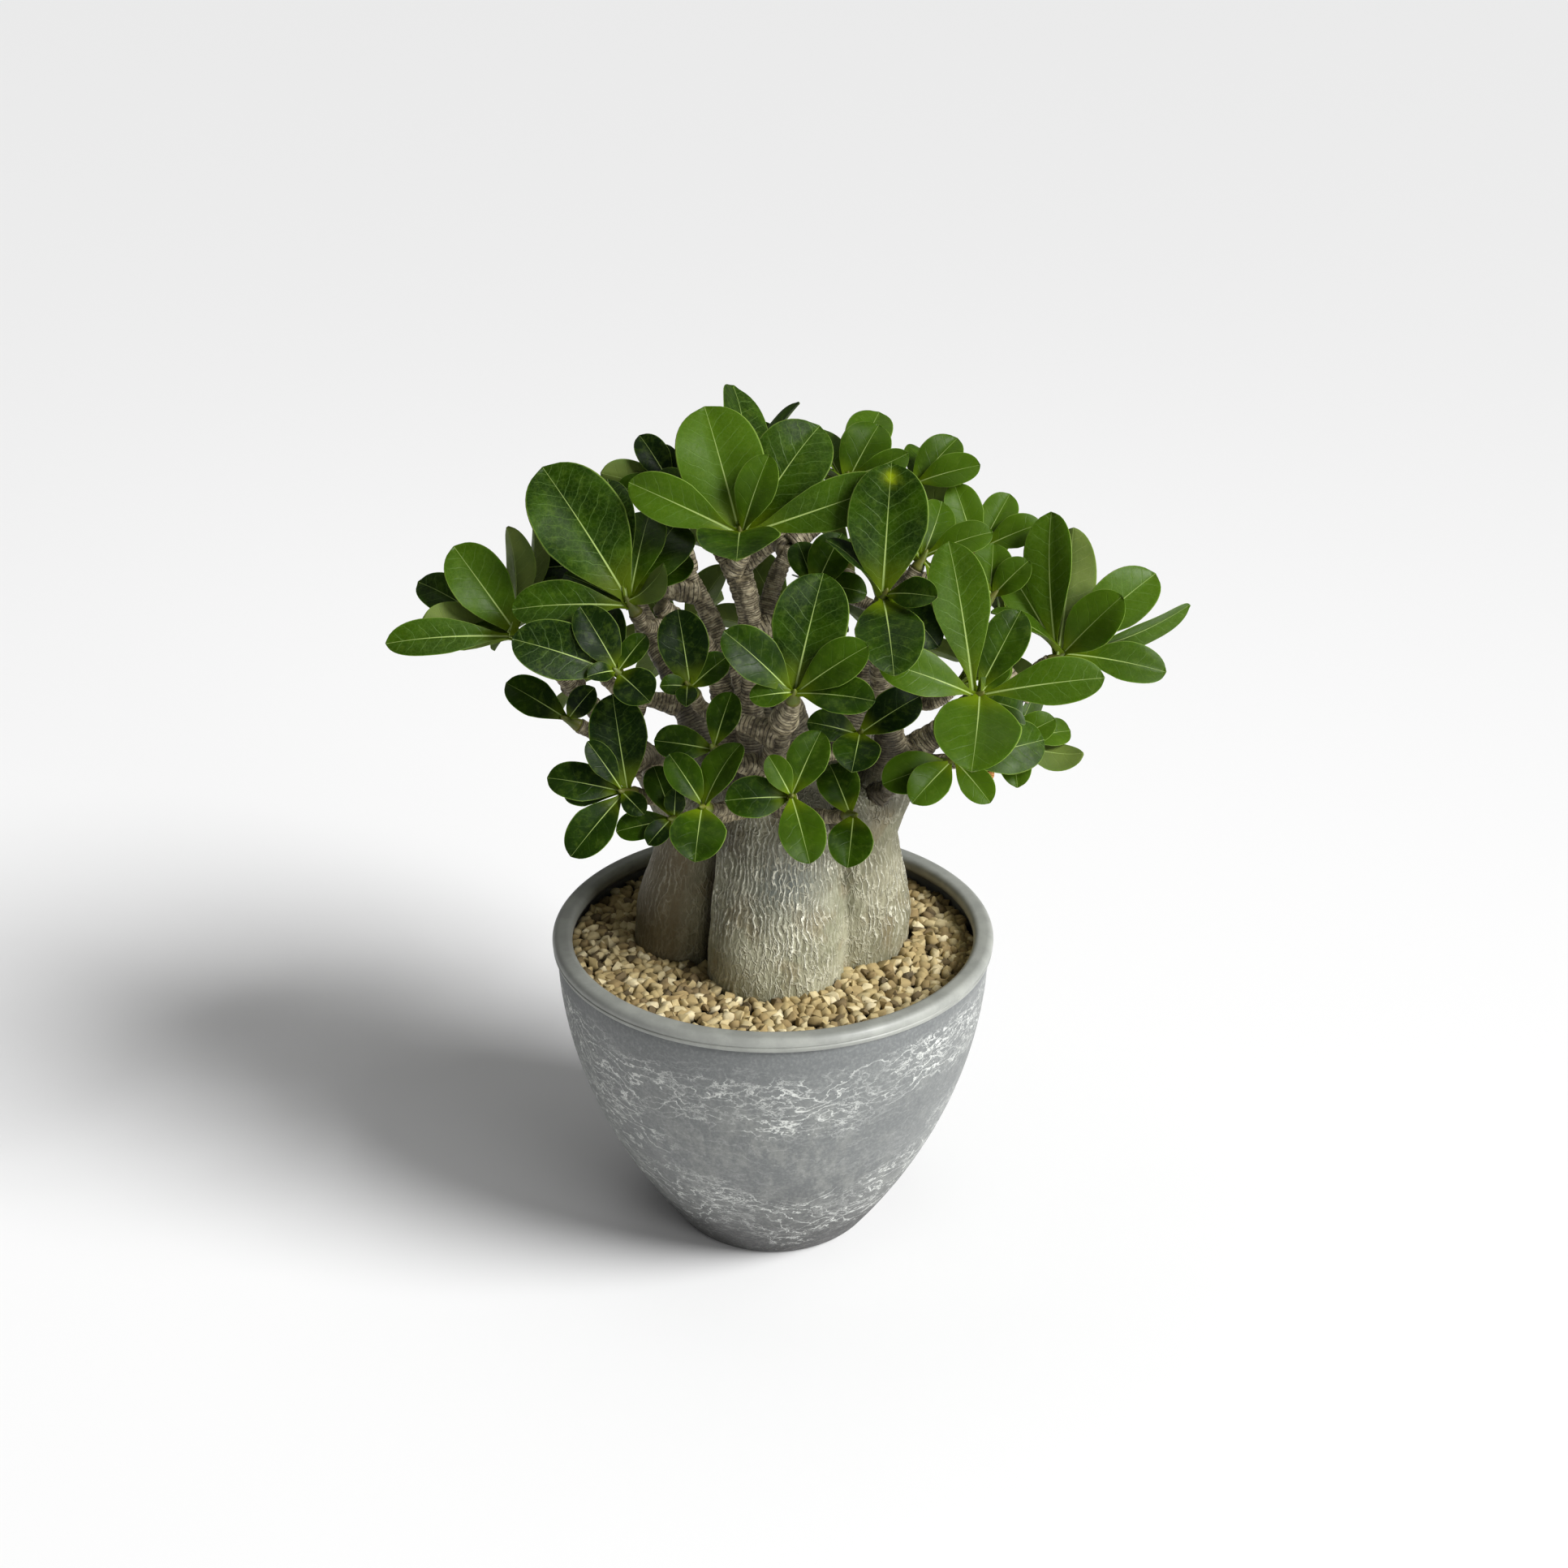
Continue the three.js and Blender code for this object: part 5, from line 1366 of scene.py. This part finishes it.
def twig_rows(tip, limb_spots):
    """The twig from the nearest limb below a tip up to that tip."""
    end = tip.place - tip.axis * TIP_CORE_LENGTH / 2
    best, least = None, math.inf
    for place, radius, _, _ in limb_spots:
        cost = np.linalg.norm(place - end) + CLIMB_COST * max(place[2] - (end[2] - TWIG_DROP), 0)
        if cost < least and place[2] > CAUDEX_CROWN - TWIG_DROP:
            best, least = (place, radius), cost
    start, radius = best
    span = np.linalg.norm(start - end)
    elbow = lerp(start, end, TWIG_ELBOW) - [0, 0, TWIG_SAG * span]
    neck = end - tip.axis * TWIG_NECK * span
    foot = min(TWIG_FOOT_SHARE * radius, TWIG_START_RADIUS)
    return [
        [*start, foot],
        [*lerp(elbow, neck, TWIG_EASE), lerp(TWIG_END_RADIUS, foot, TWIG_TAPER)],
        [*neck, TWIG_END_RADIUS],
        [*end, TWIG_END_RADIUS],
    ]


def make_twigs(twigs, finish):
    """The twigs, flared at their foot and ringed with scars, two torn stubs and a dry bud."""
    def flare(most, reach, away):
        return most * np.exp(-((away / reach) ** 2))

    def swell(along, length):
        return 1 + flare(*FOOT_FLARE, along) + flare(*END_FLARE, length - along)

    parts = []
    for rows in [*twigs, *CUT_STUBS, *DRY_BUDS]:
        (points, faces), centres, along = make_tube(rows, TWIG_SIDES, TWIG_STEP, swell)
        owner = np.append(np.repeat(np.arange(len(centres)), TWIG_SIDES), [0, len(centres) - 1])
        ring = scar_rings(along[owner], points)
        torn, dry = float(rows in CUT_STUBS), float(rows in DRY_BUDS)
        push = TWIG_ROUGHNESS * (ring - 0.5 + noise_at(points, 4.5, 1.7))
        push += STUB_ROUGHNESS * torn * noise_at(points, 1.7, 3.3)
        points = points + (points - centres[owner]) * push[:, None]
        # The torn stubs take the darker colour of torn wood.
        looks = {"ring": ring, "run": along[owner], "dark": torn, "dry": dry, "slender": 1.0}
        parts.append((points, faces, looks))
    return make_piece("twigs_bark", parts, finish)


def blade_part(leaf, rng, painted_lightness, has_spot):
    """A leaf blade with its stalk: closed rings across it from root to tip, and their looks."""
    t = np.linspace(0, 1, BLADE_ROWS)
    share = (0.4 * t + 0.6 * (1 - np.cos(np.pi * t)) / 2)[:, None] * 0.994
    spread = np.sin(np.pi / 2 * np.linspace(-1, 1, BLADE_COLUMNS + 1))[None]
    sharp = half_width(leaf, share)
    stalk = leaf.width / 2 * STALK_SHARE * (1 - share)
    half = np.where(share < 0.5, (sharp**4 + stalk**4) ** 0.25 / 1.03, sharp)
    across = spread * half
    rim = np.abs(spread)
    phase, sway, curl = rng.uniform(0, 1), rng.uniform(-SWAY, SWAY), rng.uniform(*CURL)
    twist = rng.normal(0, TWIST)
    arch = 4 * LEAF_ARCH * leaf.length * share * (1 - share)
    fold = LEAF_FOLD * half * (np.sqrt(rim**2 + 0.01) - 0.1) * (1.3 - 0.35 * rim**2)
    groove = MIDRIB_GROOVE[0] * np.exp(-((across / MIDRIB_GROOVE[1]) ** 2)) * (1 - 0.5 * share)
    swing = EDGE_WAVES[1] * share + phase + 0.4 * (spread > 0)
    waves = EDGE_WAVES[0] * half * rim**2 * np.sin(2 * np.pi * swing)
    ends = curl * leaf.length * np.clip((share - 0.7) / 0.3, 0, 1) ** 2
    height = arch + fold - groove + waves - ends + twist * across * share
    aside = sway * leaf.length * share**2
    thick = lerp(STALK_THICKNESS, BLADE_THICKNESS, smoothstep(0.02, 0.3, share)) * (1 - 0.25 * share)
    ridge = MIDRIB_RIDGE[0] * (1 - share) * np.exp(-((across / MIDRIB_RIDGE[1]) ** 2))
    depth = (thick + ridge) * (1 - rim**3)

    def points(height, cut=slice(None)):
        base = leaf.root + share[..., None] * leaf.length * leaf.along
        flat = base + (across + aside)[:, cut, None] * leaf.side
        return flat + height[:, cut, None] * leaf.up

    inside = slice(-2, 0, -1)
    rings = np.concatenate([points(height), points(height - depth, inside)], axis=1)
    end = leaf.length * 1.008
    tip = leaf.root + leaf.along * end + leaf.side * aside[-1] + leaf.up * height[-1].mean()
    vertices, faces = closed_loft(rings, rings[0].mean(0), tip)

    tone = lerp(rng.uniform(), painted_lightness, TONE_SHARE)
    shares, widths = (np.append(np.repeat(values, rings.shape[1]), last)
                      for values, last in [(share, [0, 1]), (half, [1, 0])])
    spreads, unders = (np.append(np.tile(values, BLADE_ROWS), [0, 0]) for values in (
        np.append(spread[0], spread[0, inside]), np.repeat([0, 1], [rim.size, rim.size - 2])))
    run, off = shares * leaf.length, spreads * widths
    aim = np.hypot(run - SPOT_PLACE * leaf.length, off) / SPOT_WIDTH
    return vertices, faces, {
        "blade": np.column_stack([run, off, spreads]),
        "look": np.column_stack([np.full(len(run), tone), unders, shares]),
        "spot": 0.8 * np.exp(-aim**2) * has_spot,
        "veiny": smoothstep(*VEINY, leaf.length),
    }


def core_part(tip):
    """The short young stem that a tip's leaves grow from, with a pointed bud."""
    first, second = tip.across
    turn = circle(CORE_SIDES)
    out = np.outer(np.cos(turn), first) + np.outer(np.sin(turn), second)
    rings = [tip.place + tip.axis * along + out * radius for along, radius in CORE_SECTION]
    foot, top = tip.place - tip.axis * CORE_DEPTH, tip.place + tip.axis * CORE_TOP
    vertices, faces = closed_loft(rings, foot, top)
    none = np.zeros((len(vertices), 3))
    return vertices, faces, {"blade": none, "look": none, "spot": 0.0, "veiny": 0.0}


def make_foliage(tip, leaves, leaf_finish, stem_finish):
    """The leaves of one tip with their young stem."""
    rng = np.random.default_rng(FOLIAGE_SEED + tip.number)
    # Painted light and shade for the tip: listed, or lighter the further to the right it stands.
    painted_lightness = PAINTED_TIP_LIGHT.get(tip.name, smoothstep(-70, 100, tip.place[0]))
    parts = [core_part(tip)]
    for leaf in leaves:
        parts.append(blade_part(leaf, rng, painted_lightness, (tip.name, leaf.number) == SPOTTED))
    piece = make_piece(f"foliage_{tip.name}", parts, leaf_finish, stem_finish)
    face_outward(piece.data)
    stem = np.zeros(len(piece.data.polygons), np.int32)
    stem[: len(parts[0][1])] = 1
    piece.data.polygons.foreach_set("material_index", stem)
    return piece


# ---------------------------------------------------------------- stage


def make_floor():
    corners = np.array([[-9, -9, 0], [9, -9, 0], [9, 9, 0], [-9, 9, 0]]) / MM
    finish = Finish("floor_pale", 0.8).set(base_color=color(238, 238, 238))
    floor = make_object("floor", corners, [(0, 1, 2, 3)], finish)


def make_light(kind, name, place, aim, power, **settings):
    lamp = bpy.data.lights.new(name, kind)
    lamp.energy = power
    for key, value in settings.items():
        setattr(lamp, key, value)
    light = bpy.data.objects.new(name, lamp)
    light.location = place
    light.rotation_euler = (Vector(aim) - Vector(place)).to_track_quat("-Z", "Y").to_euler()
    bpy.context.scene.collection.objects.link(light)


def make_stage():
    make_floor()
    make_light("SUN", "high_front_right", (1.6, -0.75, 1.45), (0, 0, 0), 4.3, angle=math.radians(28))
    make_light("AREA", "overhead", (-0.1, 0.35, 1.3), (0, 0, 0.25), 2, shape="DISK", size=0.9)
    make_light("AREA", "front_right", (1.2, -1.3, 0.4), (0, 0, 0.15), 11, shape="DISK", size=0.8)
    world = bpy.data.worlds.new("studio")
    world.use_nodes = True
    world.node_tree.nodes["Background"].inputs["Color"].default_value = (1, 1, 1, 1)
    world.node_tree.nodes["Background"].inputs["Strength"].default_value = 0.15
    bpy.context.scene.world = world
    bpy.context.scene.view_settings.view_transform = "Standard"


def make_camera():
    """The photograph's view: 25 degrees down from in front, with a 20 degree half angle."""
    data = bpy.data.cameras.new("camera")
    data.sensor_width, data.lens = 36, 48.45
    data.clip_start, data.clip_end = 0.05, 50
    camera = bpy.data.objects.new("camera", data)
    camera.location = (0.005, -0.843, 0.612)
    camera.rotation_euler = (math.radians(65), 0, 0)
    bpy.context.scene.collection.objects.link(camera)
    bpy.context.scene.camera = camera


# ---------------------------------------------------------------- assembly


def fit(piece, slot, *nodes):
    """The piece stands for CAD nodes, which it hides, on the one body; the slot is not used."""
    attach(piece, "root")
    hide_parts(*nodes)


make_camera()
make_stage()

bark_finish = make_bark_finish()
leaf_finish = make_leaf_finish()
stem_finish = make_stem_finish()

fit(make_pot(make_pot_finish()), "pot", "pot")
fit(make_gravel(make_gravel_finish()), "gravel", "gravel")
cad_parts["potting_mix"].data.materials.clear()
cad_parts["potting_mix"].data.materials.append(make_mix_finish())
fit(make_caudex(bark_finish), "bark", "caudex")

tips = make_tips()
limb_spots = [spot for rows in LIMBS.values() for spot in wood_spots(rows, -1)]
twigs = [twig_rows(tip, limb_spots) for tip in tips]
twig_spots = [spot for tip, rows in zip(tips, twigs) for spot in wood_spots(rows, tip.number)]
wood = tuple(np.array(values) for values in zip(*limb_spots, *twig_spots))
leaves = grow_leaves(tips, wood)
fit(make_twigs(twigs, bark_finish), "bark", "caudex")
for tip in tips:
    own = [leaf for leaf in leaves if leaf.tip == tip.number]
    fit(make_foliage(tip, own, leaf_finish, stem_finish), "leaf", f"leaves_{tip.name}")
